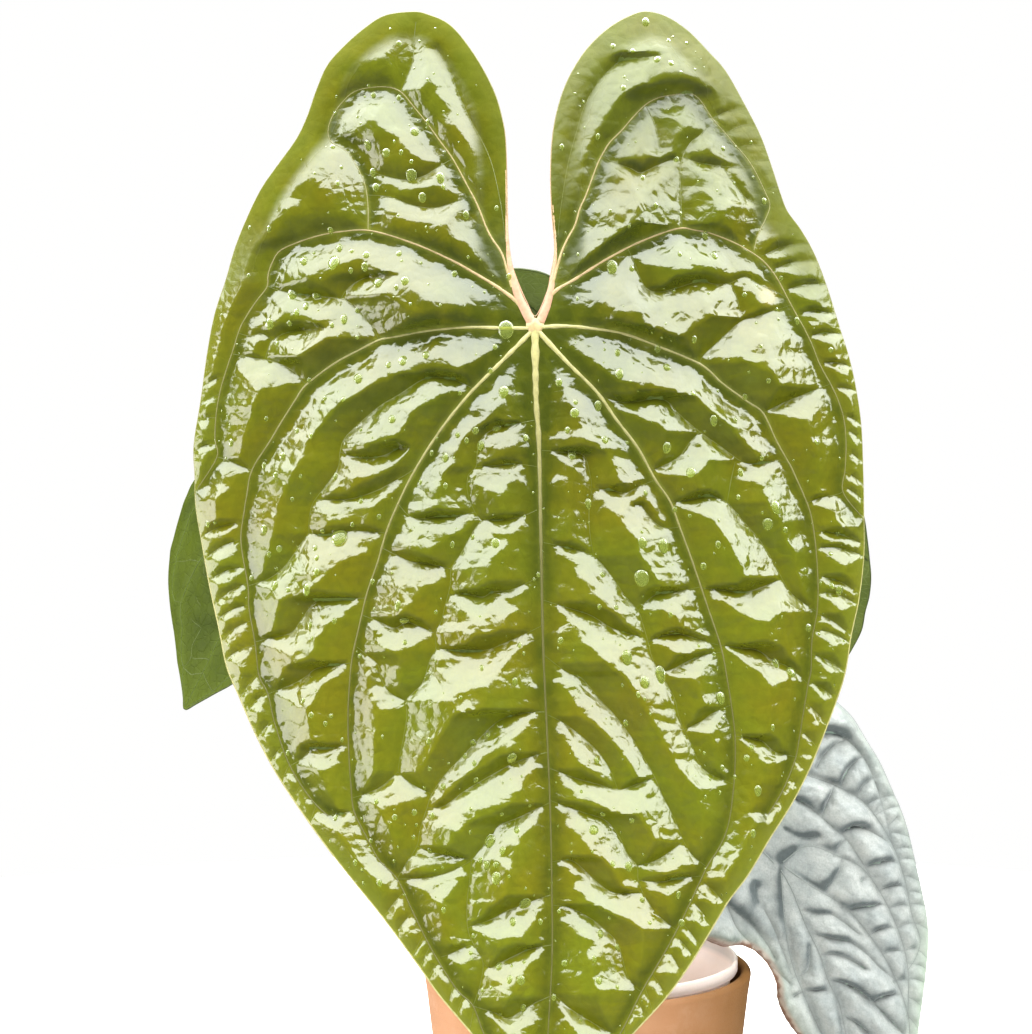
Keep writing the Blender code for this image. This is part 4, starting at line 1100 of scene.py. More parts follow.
@dataclass
class Leaf:
    """A leaf blade: its lines on the sheet, its curved surface and the quilting between its veins."""

    name: str
    margin: list
    veins: list
    node: tuple
    bend: Bend
    relief: Relief
    spacing: float
    seed: int
    facing: float = 1.0
    edge_reach: float = 9.0
    side_centre: float = 541.0
    thickness: float = BLADE_THICKNESS
    under_spacing: float = 7.5
    age_reach: float = 200.0
    shelf_wobble: float = 0.22
    shelf_wave: float = 34.0

    def __post_init__(self) -> None:
        """Draws the lines and solves the quilting."""
        self.rim = smooth_line(self.margin, self.spacing, closed=True)
        after = np.roll(self.rim, -1, axis=0)
        if (self.rim[:, 0] * after[:, 1] - self.rim[:, 1] * after[:, 0]).sum() < 0:
            self.rim = self.rim[::-1]
        closed = np.vstack([self.rim, self.rim[:1]])
        holding = [smooth_line(vein.points, 1.0) for vein in self.veins]
        main = [line for line, vein in zip(holding, self.veins) if vein.rank is Rank.MAIN]
        self.all_lines = Nearest(holding)
        self.main_lines = Nearest(main)
        self.rim_line = Nearest([smooth_line(closed, 1.0)])
        self.skin = DomeField(self.rim, holding, self.shelf(), self.relief, self.seed)
        self.pillows = Pillows(self.rim, self.relief.cell, self.seed + 7)

    def shelf(self) -> np.ndarray:
        """Points of the flat shelf inside each main vein, and on both sides of the midrib."""
        spots = []
        for number, vein in enumerate([vein for vein in self.veins if vein.rank is Rank.MAIN]):
            line = smooth_line(vein.points, 0.5 * self.relief.pitch)
            way = np.gradient(line, axis=0)
            way /= np.linalg.norm(way, axis=1)[:, None]
            mirror = np.where(line[:, 0] < self.side_centre, -1.0, 1.0)
            inner = np.stack([-way[:, 1], way[:, 0]], axis=1) * mirror[:, None]
            wide = self.shelf_width(np.linalg.norm(line - np.array(self.node), axis=1))
            wide = wide * (1.0 + self.shelf_wobble * ripple(line, self.shelf_wave, self.seed + 5 + number))
            for reach in np.arange(0.0, 1.4 * self.relief.valley, 0.6 * self.relief.pitch):
                spots.append((line + inner * reach)[reach < wide])
                if number == 0:
                    spots.append((line - inner * reach)[reach < wide])
        return np.vstack(spots)

    def shelf_width(self, far: np.ndarray) -> np.ndarray:
        """Width of a shelf at a distance from the node."""
        spread = np.minimum(0.5 + far / 110.0, 1.3)
        return self.relief.valley * spread * (1.0 - 0.6 * ramp(far, *SHELF_FADE))

    def surface(self, points: np.ndarray) -> np.ndarray:
        """Points of the smooth leaf surface behind sheet points."""
        away = self.bend.depth(points) - EYE[1]
        across = EYE[0] + (points[:, 0] - SHEET_CENTRE[0]) * away / FOCAL
        up = EYE[2] - (points[:, 1] - SHEET_CENTRE[1]) * away / FOCAL
        return np.stack([across, away + EYE[1], up], axis=1)

    def normals(self, points: np.ndarray) -> np.ndarray:
        """Unit normals on the blade's upper side: towards the eye, or away where facing is -1."""
        return normals_of(self.surface, points, 1.0, EYE - self.surface(points)) * self.facing

    def beside(self, points: np.ndarray) -> tuple:
        """Distance to the nearest main vein, and whether a point is on its inner side, from 0 to 1."""
        gap, index = self.main_lines.look(points)
        way = self.main_lines.ways[index]
        offset = points - self.main_lines.points[index]
        turn = way[:, 0] * offset[:, 1] - way[:, 1] * offset[:, 0]
        mirror = np.where(self.main_lines.points[index, 0] < self.side_centre, -1.0, 1.0)
        inner = ramp(turn * mirror / np.maximum(gap, 1.0), -1 / 3, 1 / 3)
        return gap, np.where(self.main_lines.owners[index] == 0, 1.0, inner)

    def height(self, points: np.ndarray) -> np.ndarray:
        """Quilting: zero along the veins, a flat shelf inside each main vein, domes and cushions between."""
        far = np.linalg.norm(points - np.array(self.node), axis=1)
        near, inner = self.beside(points)
        bank = min(self.relief.bank, self.relief.valley)
        width = bank * (1.0 - inner) + self.shelf_width(far) * inner
        valley = ramp(near / width, 0.4, 1.2)
        calm = ramp(far, *NODE_RISE)
        height = self.skin.look(points) * calm
        if self.relief.pillow:
            free = ramp(self.all_lines.look(points)[0], *LINE_RISE)
            free *= ramp(self.rim_line.look(points)[0], *LINE_RISE)
            cushion = self.relief.pillow * (1.0 - np.exp(-self.pillows.edge_gap(points) / self.relief.crease))
            cushion += self.relief.crumple * ripple(points, 10.0, self.seed + 9, 12)
            height = height + cushion * free * valley * calm * (1.0 - 0.6 * self.relief.calm_share(points))
        return height

    def lifted(self, points: np.ndarray, lift: float = 0.0) -> tuple:
        """Places on the quilted upper side, raised by lift, and the normals there."""
        normal = self.normals(points)
        return self.surface(points) + normal * (self.height(points) + lift)[:, None], normal

    def triangles(self, rim: np.ndarray, step: float, lines: list) -> tuple:
        """Triangles on the sheet inside a closed outline, which follow some lines.

        Args:
            rim: Points of the outline, which all become corners.
            step: Distance between the corners inside it.
            lines: Lines that edges follow.

        Returns:
            The corners, the triangles' corner numbers, and the corner number of each outline point.
        """
        points = [tuple(p) for p in rim]
        rim_count = len(points)
        shelves: dict = {}

        def shelf(p: tuple) -> tuple:
            """Cell of a coarse grid that a point lies in."""
            return int(p[0] // step), int(p[1] // step)

        def close(p: tuple) -> Optional[int]:
            """Number of a point that is already there, close by."""
            col, row = shelf(p)
            best, span = None, 0.55 * step
            for dc in (-1, 0, 1):
                for dr in (-1, 0, 1):
                    for index in shelves.get((col + dc, row + dr), ()):
                        gap = math.dist(points[index], p)
                        if gap < span:
                            best, span = index, gap
            return best

        for index, p in enumerate(points):
            shelves.setdefault(shelf(p), []).append(index)
        edges = [(index, (index + 1) % rim_count) for index in range(rim_count)]
        for line in lines:
            last = None
            for p in smooth_line(line, step):
                p = tuple(p)
                index = close(p)
                if index is None:
                    index = len(points)
                    points.append(p)
                    shelves.setdefault(shelf(p), []).append(index)
                if last is not None and index != last and not (index < rim_count and last < rim_count):
                    edges.append((last, index))
                last = index
        low, high = rim.min(axis=0), rim.max(axis=0)
        rows = []
        for row, y in enumerate(np.arange(low[1], high[1], step * 0.866)):
            xs = np.arange(low[0] + 0.5 * step * (row % 2), high[0], step)
            rows.append(np.stack([xs, np.full(len(xs), y)], axis=1))
        rows = np.vstack(rows)
        rows = rows[inside(rows, rim)]
        keep = self.rim_line.look(rows)[0] > 0.6 * step
        if lines:
            keep &= self.all_lines.look(rows)[0] > 0.6 * step
        points.extend(tuple(p) for p in rows[keep])
        found = delaunay_2d_cdt([Vector(p) for p in points], edges, [], 0, 1e-4, True)
        flat = np.array([(v[0], v[1]) for v in found[0]])
        faces = np.array([tuple(face) for face in found[2]])
        rim_corners = np.zeros(rim_count, int)
        for corner, sources in enumerate(found[3]):
            for source in sources:
                if source < rim_count:
                    rim_corners[source] = corner
        return flat, faces[inside(flat[faces].mean(axis=1), rim)], rim_corners

    def turned_out(self, faces: np.ndarray, places: np.ndarray, normals: np.ndarray) -> np.ndarray:
        """The triangles, each wound so that it faces along its corners' normals."""
        edge_a = places[faces[:, 1]] - places[faces[:, 0]]
        edge_b = places[faces[:, 2]] - places[faces[:, 0]]
        wrong = (np.cross(edge_a, edge_b) * normals[faces[:, 0]]).sum(axis=1) < 0
        faces[wrong] = faces[wrong][:, ::-1]
        return faces

    def build_blade(self, upper_finish: Material, under_finish: Material) -> Object:
        """The closed blade: upper face, under face and the rim between them.

        Args:
            upper_finish: Material of the upper side.
            under_finish: Material of the under side.

        Returns:
            The blade, which carries the values that its finishes read.
        """
        flat, faces, _ = self.triangles(self.rim, self.spacing, [vein.points for vein in self.veins])
        upper, normal = self.lifted(flat)
        faces = self.turned_out(faces, upper, normal)
        loops = np.vstack([faces[:, [0, 1]], faces[:, [1, 2]], faces[:, [2, 0]]]).tolist()
        keys = {(a, b) for a, b in loops}
        after = {a: b for a, b in keys if (b, a) not in keys}
        border = [min(after)]
        while after[border[-1]] != border[0]:
            border.append(after[border[-1]])
        under_flat, under_faces, rim_corners = self.triangles(flat[border], self.under_spacing, [])
        under, under_normal = self.lifted(under_flat)
        under = under - under_normal * self.thickness
        under_faces = self.turned_out(under_faces, under, -under_normal)
        count = len(flat)
        low_rim = (rim_corners + count).tolist()
        wall = []
        for i, corner in enumerate(border):
            k = (i + 1) % len(border)
            wall.append((border[k], corner, low_rim[i], low_rim[k]))
        corners = faces.tolist() + (under_faces + count).tolist() + wall
        marks = [0] * len(faces) + [1] * len(under_faces) + [0] * len(wall)
        piece = make_object(self.name, np.vstack([upper, under]), corners, [upper_finish, under_finish],
                            marks, crease=50.0)
        above, below = self.values(flat), self.values(under_flat)
        for name, values in above.items():
            add_values(piece, name, np.concatenate([values, below[name]]))
        return piece

    def values(self, flat: np.ndarray) -> dict:
        """Values that the finishes read, by name, for sheet points."""
        main_gap = self.main_lines.look(flat)[0]
        node_gap = np.linalg.norm(flat - np.array(self.node), axis=1)
        return {
            "halo": 0.85 * np.exp(-main_gap / 1.6) * (1.0 - 0.8 * ramp(node_gap, *HALO_FADE)),
            "edge": np.exp(-self.rim_line.look(flat)[0] / self.edge_reach) * 0.8,
        }

    def fall(self, flat: np.ndarray, step: tuple) -> np.ndarray:
        """How much higher the skin is a step back than a step on, in metres."""
        return self.skin.look(flat - step) - self.skin.look(flat + step)

    def bead(self, rim: np.ndarray) -> tuple:
        """Radii of the margin's bead and its two colour values, for its sheet points: thin and even."""
        return np.full(len(rim), 0.00042), np.full(len(rim), 0.8), np.zeros(len(rim))

    def cord_path(self, points: list, step: float, lift: float) -> tuple:
        """Sheet points, places and normals along a cord on the upper side."""
        line = smooth_line(points, step)
        place, normal = self.lifted(line, lift)
        return line, place, normal

    def build_net(self, name: str, finish: Material, step: float) -> Object:
        """Thin lines of the cross veins and rungs, in one piece.

        Args:
            name: The piece's name.
            finish: Its material.
            step: Distance between the lines' points, in sheet units.

        Returns:
            The piece.
        """
        tubes = Tubes()
        for vein in self.veins:
            if vein.rank is Rank.MAIN:
                continue
            line, place, normal = self.cord_path(vein.points, step, 0.0)
            share = np.linspace(0.0, 1.0, len(line))
            radii = vein.end + (vein.start - vein.end) * (1.0 - share)
            radii = radii * (0.45 + 0.55 * np.sin(math.pi * np.clip(share, 0.04, 0.96)))
            tubes.lay(place, normal, radii, 5, 0.75, 1.0 - np.sin(math.pi * share))
        return tubes.build(name, finish)

    def build_cords(self, name: str, finish: Material, step: float) -> Object:
        """Cords of the main veins, their ribs on the under side and the bead along the margin, in one piece.

        Args:
            name: The piece's name.
            finish: Its material.
            step: Distance between the cords' points, in sheet units.

        Returns:
            The piece.
        """
        tubes = Tubes()
        for vein in self.veins:
            if vein.rank is not Rank.MAIN:
                continue
            line, place, normal = self.cord_path(vein.points, step, 0.0)
            share = np.linspace(0.0, 1.0, len(line))
            radii = vein.end + (vein.start - vein.end) * np.exp(-3.0 * share * vein.fade)
            radii = radii * (1.0 + 0.13 * ripple(line, 13.0, self.seed + 3))
            far = np.linalg.norm(line - np.array(self.node), axis=1)
            age = np.clip(vein.aging * far / self.age_reach, 0.0, 1.0) ** 0.8
            blush = vein.pink * np.clip(1.25 - 2.0 * share, 0.0, 1.0)
            tubes.lay(place, normal, radii, 8, 0.75, age, blush)
            tubes.lay(place - normal * self.thickness, normal, radii * 1.15 + 0.0002, 8, 1.0, age)
        rim = np.vstack([self.rim, self.rim[:2]])
        place, normal = self.lifted(rim, -0.5 * self.thickness)
        radii, age, blush = self.bead(rim)
        tubes.lay(place, normal, radii, 7, 1.0, age, blush)
        return tubes.build(name, finish)


def ladder(collective: np.ndarray, rim: np.ndarray, step: float, slant: float, radius: float,
           seed: int) -> list:
    """Short rungs from a collective vein out to the margin.

    Args:
        collective: Points of the vein, in order, one unit apart.
        rim: Points of the margin's side in the same order.
        step: Middling distance between the rungs.
        slant: How far along the margin a rung ends past the nearest place.
        radius: Radius of the rung's cord.
        seed: Seed of their uneven places.

    Returns:
        The rungs, as fine veins.
    """
    rungs = []
    rng = np.random.default_rng(seed)
    places = np.cumsum(rng.uniform(0.62, 1.38, size=int(len(collective) / step) + 1) * step)
    for place in places[places < len(collective)]:
        start = collective[int(place)]
        nearest = int(np.linalg.norm(rim - start, axis=1).argmin())
        end = rim[min(nearest + int(slant + rng.uniform(-4.0, 6.0)), len(rim) - 1)]
        if np.linalg.norm(end - start) < 10.0:
            continue
        middle = 0.5 * (start + end) - 0.08 * np.abs(end - start)[::-1] * (0.0, 1.0)
        rungs.append(Vein([tuple(start), tuple(middle), tuple(end)], Rank.FINE, radius, radius))
    return rungs


class FrontLeaf(Leaf):
    """The large glossy leaf that faces the viewer, with its pale net, cream margin and water drops."""

    def __init__(self) -> None:
        """Draws its veins with their widths."""
        veins = [
            Vein(MIDRIB, Rank.MAIN, 0.00125, 0.00016, 1.6, aging=1.7),
            Vein(INNER_LEFT, Rank.MAIN, 0.00075, 0.00017, 2.0),
            Vein(INNER_RIGHT, Rank.MAIN, 0.00075, 0.00017, 2.0),
            Vein(MIDDLE_LEFT, Rank.MAIN, 0.00060, 0.00016, 1.5),
            Vein(MIDDLE_RIGHT, Rank.MAIN, 0.00066, 0.00016, 1.5),
            Vein(OUTER_LEFT, Rank.MAIN, 0.00060, 0.00016, 1.6, 0.5),
            Vein(OUTER_RIGHT, Rank.MAIN, 0.00060, 0.00016, 1.6, 0.5),
            Vein(LOBE_LEFT, Rank.MAIN, 0.00045, 0.00013, 1.6, 0.35),
            Vein(LOBE_RIGHT, Rank.MAIN, 0.00045, 0.00013, 1.6, 0.35),
            Vein(EDGE_LEFT, Rank.CROSS, 0.00018, 0.00012),
            Vein(EDGE_RIGHT, Rank.CROSS, 0.00018, 0.00012),
        ]
        veins += [Vein(points, Rank.CROSS, 0.00018, 0.00014) for points in CROSS_LEFT + CROSS_RIGHT]
        for parts, rim_points, slant in (
                ((OUTER_LEFT[20:-1], MIDDLE_LEFT[13:], INNER_LEFT[19:]), MARGIN_LEFT, 9),
                ((OUTER_RIGHT[9:-1], MIDDLE_RIGHT[12:], INNER_RIGHT[19:]), MARGIN_RIGHT, 9),
                ((LOBE_RIGHT[18:25],), MARGIN_RIGHT, 6)):
            rim = smooth_line(rim_points, 1.0)
            for number, part in enumerate(parts):
                veins += ladder(smooth_line(part, 1.0), rim, 22.0, slant, 0.00010, number + slant)
        relief = Relief(dome=0.0112, reach=18.0, valley=9.0, lump=26.0, lumpiness=0.50, rounds=170, cell=24.0,
                        pillow=0.00030, crease=4.0, crumple=0.00003, drift=(0.0, 0.17), calm=(0.9, 0.1),
                        strip=0.5, lively=0.7, steepest=(0.00013, 0.00017, 0.00070))
        super().__init__("front_blade", MARGIN_LEFT + MARGIN_RIGHT[::-1], veins, NODE, FRONT_BEND, relief,
                         spacing=2.85, seed=11, age_reach=430.0)

    def bead(self, rim: np.ndarray) -> tuple:
        """Margin's bead: thick and cream low on both sides, thin and pinkish round the lobes."""
        low = ramp(rim[:, 1], *CREAM_DOWN)
        radii = 0.00030 + 0.00016 * low - 0.00012 * ramp(rim[:, 1], *TIP_DOWN)
        notch = np.clip(1.3 - np.hypot(rim[:, 0] - 530.0, rim[:, 1] - 260.0) / 120.0, 0.0, 1.0)
        return radii, np.full(len(rim), 0.30) + 0.30 * (1.0 - low), notch

    def build_notch(self, finish: Material) -> Object:
        """Thick pink ribs along the notch and the hub where all main veins meet.

        Args:
            finish: Its material.

        Returns:
            The piece.
        """
        tubes = Tubes()
        for points, thick in ((SINUS_LEFT, 0.00125), (SINUS_RIGHT, 0.00110)):
            line, place, normal = self.cord_path(points, 3.0, -0.0002)
            share = np.linspace(0.0, 1.0, len(line))
            radii = 0.00036 + thick * np.exp(-(share / 0.42) ** 2)
            tubes.lay(place, normal, radii, 12, 0.6, 0.1, np.clip(1.1 - 0.5 * share, 0.0, 1.0))
        hub = [(NODE[0] + right, NODE[1] + down) for right, down in ((-9.0, -0.5), (0.0, 1.0), (9.0, -0.5))]
        line, place, normal = self.cord_path(hub, 1.5, 0.0)
        swell = np.sin(np.linspace(0.15, math.pi - 0.15, len(line)))
        tubes.lay(place, normal, 0.0026 * swell, 14, 0.42, 0.0, 0.45)
        return tubes.build("front_notch_ribs", finish)

    def values(self, flat: np.ndarray) -> dict:
        """Adds the lobes' matt rims, dark green with painted shade below domes, and the right lobe's small
        orange fleck.
        """
        values = super().values(flat)
        top = ramp(flat[:, 1], *MATT_UP) * ramp(self.rim_line.look(flat)[0], *MATT_RIM)
        right = ramp(flat[:, 1], *RIGHT_LOBE_UP) * ramp(flat[:, 0], *RIGHT_LOBE_RIGHT)
        matt = np.clip(0.28 * right + top * (1.0 - 0.55 * right), 0.0, 1.0)
        main_gap, inner = self.beside(flat)
        band = np.exp(-(main_gap / 13.0) ** 2) * (0.10 + 0.65 * inner)
        centre = np.exp(-np.linalg.norm(flat - np.array(self.node), axis=1) / 130.0)
        # Painted shade: darker where the skin falls away downwards, on the domes' lower slopes
        shade = ramp(self.fall(flat, (0.0, 2.5)), 0.0, 0.0016)
        values["matt"] = matt
        values["deep_green_and_shade"] = np.clip(band + 1.15 * centre + 0.5 * shade + 0.22 * matt, 0.0, 1.0)
        values["spot"] = np.exp(-(np.hypot(flat[:, 0] - 767.0, flat[:, 1] - 297.0) / 7.0) ** 2)
        return values


@dataclass
class Drops:
    """Water drops on a leaf: those listed, and smaller ones by seed."""

    leaf: Leaf
    placed: list
    small: int
    seed: int
    unit: float
    rim_gap: float = 5.0
    smallest: float = 0.9
    spread: float = 2.8
    fine_from: float = 2.6

    def template(self, segments: int, rings: int) -> tuple:
        """Corners and faces of a flattened ball, its foot flatter than its top."""
        bpy.ops.object.select_all(action="DESELECT")
        bpy.ops.mesh.primitive_uv_sphere_add(segments=segments, ring_count=rings, radius=1.0)
        corners, faces = taken(bpy.context.object)
        corners[:, 2] *= np.where(corners[:, 2] > 0, 0.50, 0.25)
        return corners, faces

    def places(self) -> np.ndarray:
        """Right, down and radius of all drops, in sheet units."""
        rng = np.random.default_rng(self.seed)
        low, high = self.leaf.rim.min(axis=0), self.leaf.rim.max(axis=0)
        spots = [tuple(map(float, drop)) for drop in self.placed]
        tries = rng.uniform(low, high, size=(self.small * 4, 2))
        tries = tries[inside(tries, self.leaf.rim)]
        tries = tries[self.leaf.rim_line.look(tries)[0] > self.rim_gap]
        for x, y in tries[:self.small]:
            radius = self.smallest + self.spread * rng.random() ** 2.6
            if all(math.hypot(x - s[0], y - s[1]) > s[2] + radius + 1.0 for s in spots):
                spots.append((x, y, radius))
        return np.array(spots)

    def build(self, name: str, finish: Material) -> Object:
        """All drops in one piece, each pulled down a little by its weight.

        Args:
            name: The piece's name.
            finish: Its material.

        Returns:
            The piece.
        """
        rng = np.random.default_rng(self.seed + 1)
        spots = self.places()
        fine, coarse = self.template(16, 9), self.template(7, 4)
        place, around = self.leaf.lifted(spots[:, :2])
        slopes = normals_of(lambda points: self.leaf.lifted(points)[0], spots[:, :2], 1.2, around)
        heap = Heap()
        for radius, spot, normal in zip(spots[:, 2], place, slopes):
            corners, sides = fine if radius > self.fine_from else coarse
            down = np.array((0.0, 0.0, -1.0)) - normal * -normal[2]
            down /= np.linalg.norm(down)
            side = np.cross(normal, down)
            size = radius * self.unit * rng.uniform(0.86, 1.05)
            long = 1.0 + min(0.12 * radius, 0.60) * rng.random()
            sag = np.where(corners[:, 1] > 0, long, 1.0)
            shape = (side * corners[:, :1] * rng.uniform(0.72, 1.0) + down * (corners[:, 1] * sag)[:, None]
                     + normal * (corners[:, 2] + 0.08)[:, None]) * size
            heap.add(spot + shape, sides)
        return heap.build(name, finish, 80.0)


@dataclass(frozen=True)
class Carry:
    """Way to draw the front leaf's lines on a hind leaf: where they go along and across it."""

    node: tuple
    along: tuple
    across: tuple

    def points(self, points: list) -> list:
        """The line on the hind leaf."""
        moved = []
        for x, y in points:
            side = (x - NODE[0]) / FRONT_LENGTH_UNITS
            down = (y - NODE[1]) / FRONT_LENGTH_UNITS
            moved.append((self.node[0] + side * self.across[0] + down * self.along[0],
                          self.node[1] + side * self.across[1] + down * self.along[1]))
        return moved


class HindLeaf(Leaf):
    """A plainer leaf behind the pot, with the same net drawn smaller."""

    def __init__(self, name: str, carry: Carry, bend: Bend, relief: Relief, spacing: float, scale: float,
                 facing: float, seed: int) -> None:
        """Carries the front leaf's lines over.

        Args:
            name: The blade's name.
            carry: Where the lines go.
            bend: How the blade lies in space.
            relief: Its quilting.
            spacing: Distance between mesh points on the sheet.
            scale: Its vein widths, as a share of the front leaf's.
            facing: 1 where its upper side is towards the eye, else -1.
            seed: Seed of its lumps.
        """
        main = [MIDRIB, INNER_LEFT, INNER_RIGHT, MIDDLE_LEFT, MIDDLE_RIGHT, OUTER_LEFT, OUTER_RIGHT,
                LOBE_LEFT, LOBE_RIGHT]
        veins = [Vein(carry.points(line), Rank.MAIN, 0.0010 * scale, 0.00022 * scale) for line in main]
        veins += [Vein(carry.points(line), Rank.CROSS, 0.0002, 0.00014)
                  for line in (CROSS_LEFT[4:-5] + CROSS_RIGHT[5:])[::2]]
        super().__init__(name, carry.points(MARGIN_LEFT + MARGIN_RIGHT[::-1]), veins, bend.centre, bend,
                         relief, spacing, seed, facing, edge_reach=4.0, side_centre=bend.centre[0])


class SilverBlade(Leaf):
    """The velvety silver leaf beside the pot, with a dry brown rim on its low left side."""

    def __init__(self) -> None:
        """Draws its grooves and the small cells along its margin."""
        veins = [Vein(line, Rank.MAIN, 0.00022, 0.00009) for line in SILVER_MAIN]
        veins += [Vein(line, Rank.CROSS, 0.00009, 0.00008) for line in SILVER_CROSS]
        veins += [Vein(line, Rank.FINE, 0.00008, 0.00008) for line in SILVER_FINE]
        rim = smooth_line(SILVER_MARGIN, 1.0, closed=True)
        right = rim[:int(len(rim) * 0.47)]
        outer = smooth_line(SILVER_MAIN[3][2:] + SILVER_MAIN[1][7:], 1.0)
        veins += ladder(outer, right, 17.0, 5.0, 0.00012, 3)
        relief = Relief(dome=0.0135, reach=14.0, valley=2.0, lump=14.0, lumpiness=0.45, pitch=0.7, rounds=150,
                        bank=2.0, cell=13.0, pillow=0.00040, crease=3.5, crumple=0.00010, drift=(0.09, 0.17))
        super().__init__("silver_blade", SILVER_MARGIN, veins, SILVER_NODE, SILVER_BEND, relief, spacing=1.7,
                         seed=31, edge_reach=5.0, side_centre=835.0, under_spacing=5.0)

    def dry_side(self, flat: np.ndarray) -> np.ndarray:
        """Share of the dry side at sheet points: low on the left."""
        return ramp(flat[:, 1], *DRY_DOWN) * ramp(flat[:, 0], *DRY_LEFT)

    def values(self, flat: np.ndarray) -> dict:
        """Adds painted shade in grooves, creases and below puffs, and the dry rim; makes the edge greenish
        below.
        """
        values = super().values(flat)
        rim_gap = self.rim_line.look(flat)[0]
        torn = np.maximum(2.2 + 1.4 * ripple(flat, 9.0, 5), 0.6)
        values["dry"] = self.dry_side(flat) * ramp(rim_gap / torn, 1.5, 0.5)
        values["blush"] = 0.5 * self.dry_side(flat) * ramp(rim_gap, 8.0, 3.0)
        low = ramp(flat[:, 1], *GREEN_DOWN)
        # Painted shade: darker in pillow creases, beside the grooves, and where the skin falls towards the
        # lower right
        crease = np.exp(-self.pillows.edge_gap(flat) / 1.2)
        near = ramp(self.fall(flat, (1.6, 2.6)) / (0.0026 - 0.0008 * low), 0.0, 1.0)
        wide = ramp(self.fall(flat, (3.2, 5.2)), 0.0, 0.0042)
        groove_shade = np.exp(-self.all_lines.look(flat)[0] / 2.2)
        values["painted_shade"] = np.clip(0.45 * wide + 0.25 * groove_shade + 0.10 * crease + 0.6 * near, 0.0, 0.85)
        values["edge"] = np.exp(-rim_gap / 8.0) * (0.25 + 0.65 * low)
        return values

    def bead(self, rim: np.ndarray) -> tuple:
        """Thin rim, browner where it is dry."""
        dry = self.dry_side(rim)
        radii = 0.00030 + 0.00012 * dry * ripple(rim, 7.0, 9)
        return radii, np.full(len(rim), 0.7), dry


@dataclass(frozen=True)
class StalkPlan:
    """How a stalk stands: its foot in the crown, its lean there, and the pull at each end of its arc."""

    key: str  # word that its piece, its node and its leaf share
    foot: tuple
    lean: tuple
    leave: float
    arrive: float
    droop: float


@dataclass
class Stalk:
    """A leaf stalk: straight in its socket, an arc up to the blade, and a thick knee behind it."""

    plan: StalkPlan
    leaf: Leaf
    crown_top: float = 0.117
    socket: float = 0.014
    straight: float = 0.004
    radius: float = 0.0024
    knee_radius: float = 0.0033
    knee_length: float = 0.012
    gap: float = 0.0004
    seat_offset: float = 3.0

    def seat(self) -> tuple:
        """Point just behind the blade at its stalk, and the direction towards the blade there."""
        spot = np.array(self.leaf.node)[None] + (0.0, self.seat_offset)
        normal = self.leaf.normals(spot)[0]
        return self.leaf.surface(spot)[0] - normal * (BLADE_THICKNESS + self.gap), normal

    def path(self) -> np.ndarray:
        """Centre line from the foot to the blade."""
        start = np.array((*self.plan.foot, self.crown_top - self.socket))
        rise = np.array(self.plan.lean) / np.linalg.norm(self.plan.lean)
        mouth = start + rise * (self.socket + self.straight)
        end, facing = self.seat()
        knee = end - facing * self.knee_length
        span = np.linalg.norm(knee - mouth)
        first = mouth + rise * span * self.plan.leave
        pull = facing * 0.75 + np.array((0.0, 0.0, self.plan.droop))
        second = knee - pull / np.linalg.norm(pull) * span * self.plan.arrive
        t = np.linspace(0.0, 1.0, 60)[:, None]
        s = 1.0 - t
        arc = mouth * s ** 3 + first * 3 * s * s * t + second * 3 * s * t * t + knee * t ** 3
        return smooth_line([start, *arc[::4], knee + facing * 0.004, knee + facing * 0.008,
                            end + facing * (self.gap + 0.0003)], 0.0020)

    def build(self, finish: Material) -> Object:
        """The stalk, round with faint ribs, in one closed piece.

        Args:
            finish: Its material.

        Returns:
            The piece.
        """
        path = self.path()
        along = run(path)
        left = along[-1] - along
        knee = ramp(left, self.knee_length + 0.003, self.knee_length - 0.002)
        radii = self.radius * (1.12 - 0.22 * along / along[-1])
        radii = (radii + (self.knee_radius - radii) * knee) * (1.0 - 0.14 * ramp(left, 0.003, 0.0))
        brown = 0.55 * knee + 0.7 * np.exp(-((along - self.socket) / 0.012) ** 2)
        tubes = Tubes()
        up = np.tile((0.32, -0.94, 0.12), (len(path), 1))
        tubes.lay(path, up, radii, 18, age=np.clip(brown, 0.0, 1.0), ribs=0.025)
        return tubes.build(self.plan.key + "_stalk", finish)


def arc(centre: tuple, radius: float, first: float, last: float, steps: int) -> list:
    """Points of an arc in the (radius, height) plane between two angles in degrees."""
    angles = np.radians(np.linspace(first, last, steps + 1))
    return [(centre[0] + radius * math.cos(a), centre[1] + radius * math.sin(a)) for a in angles]


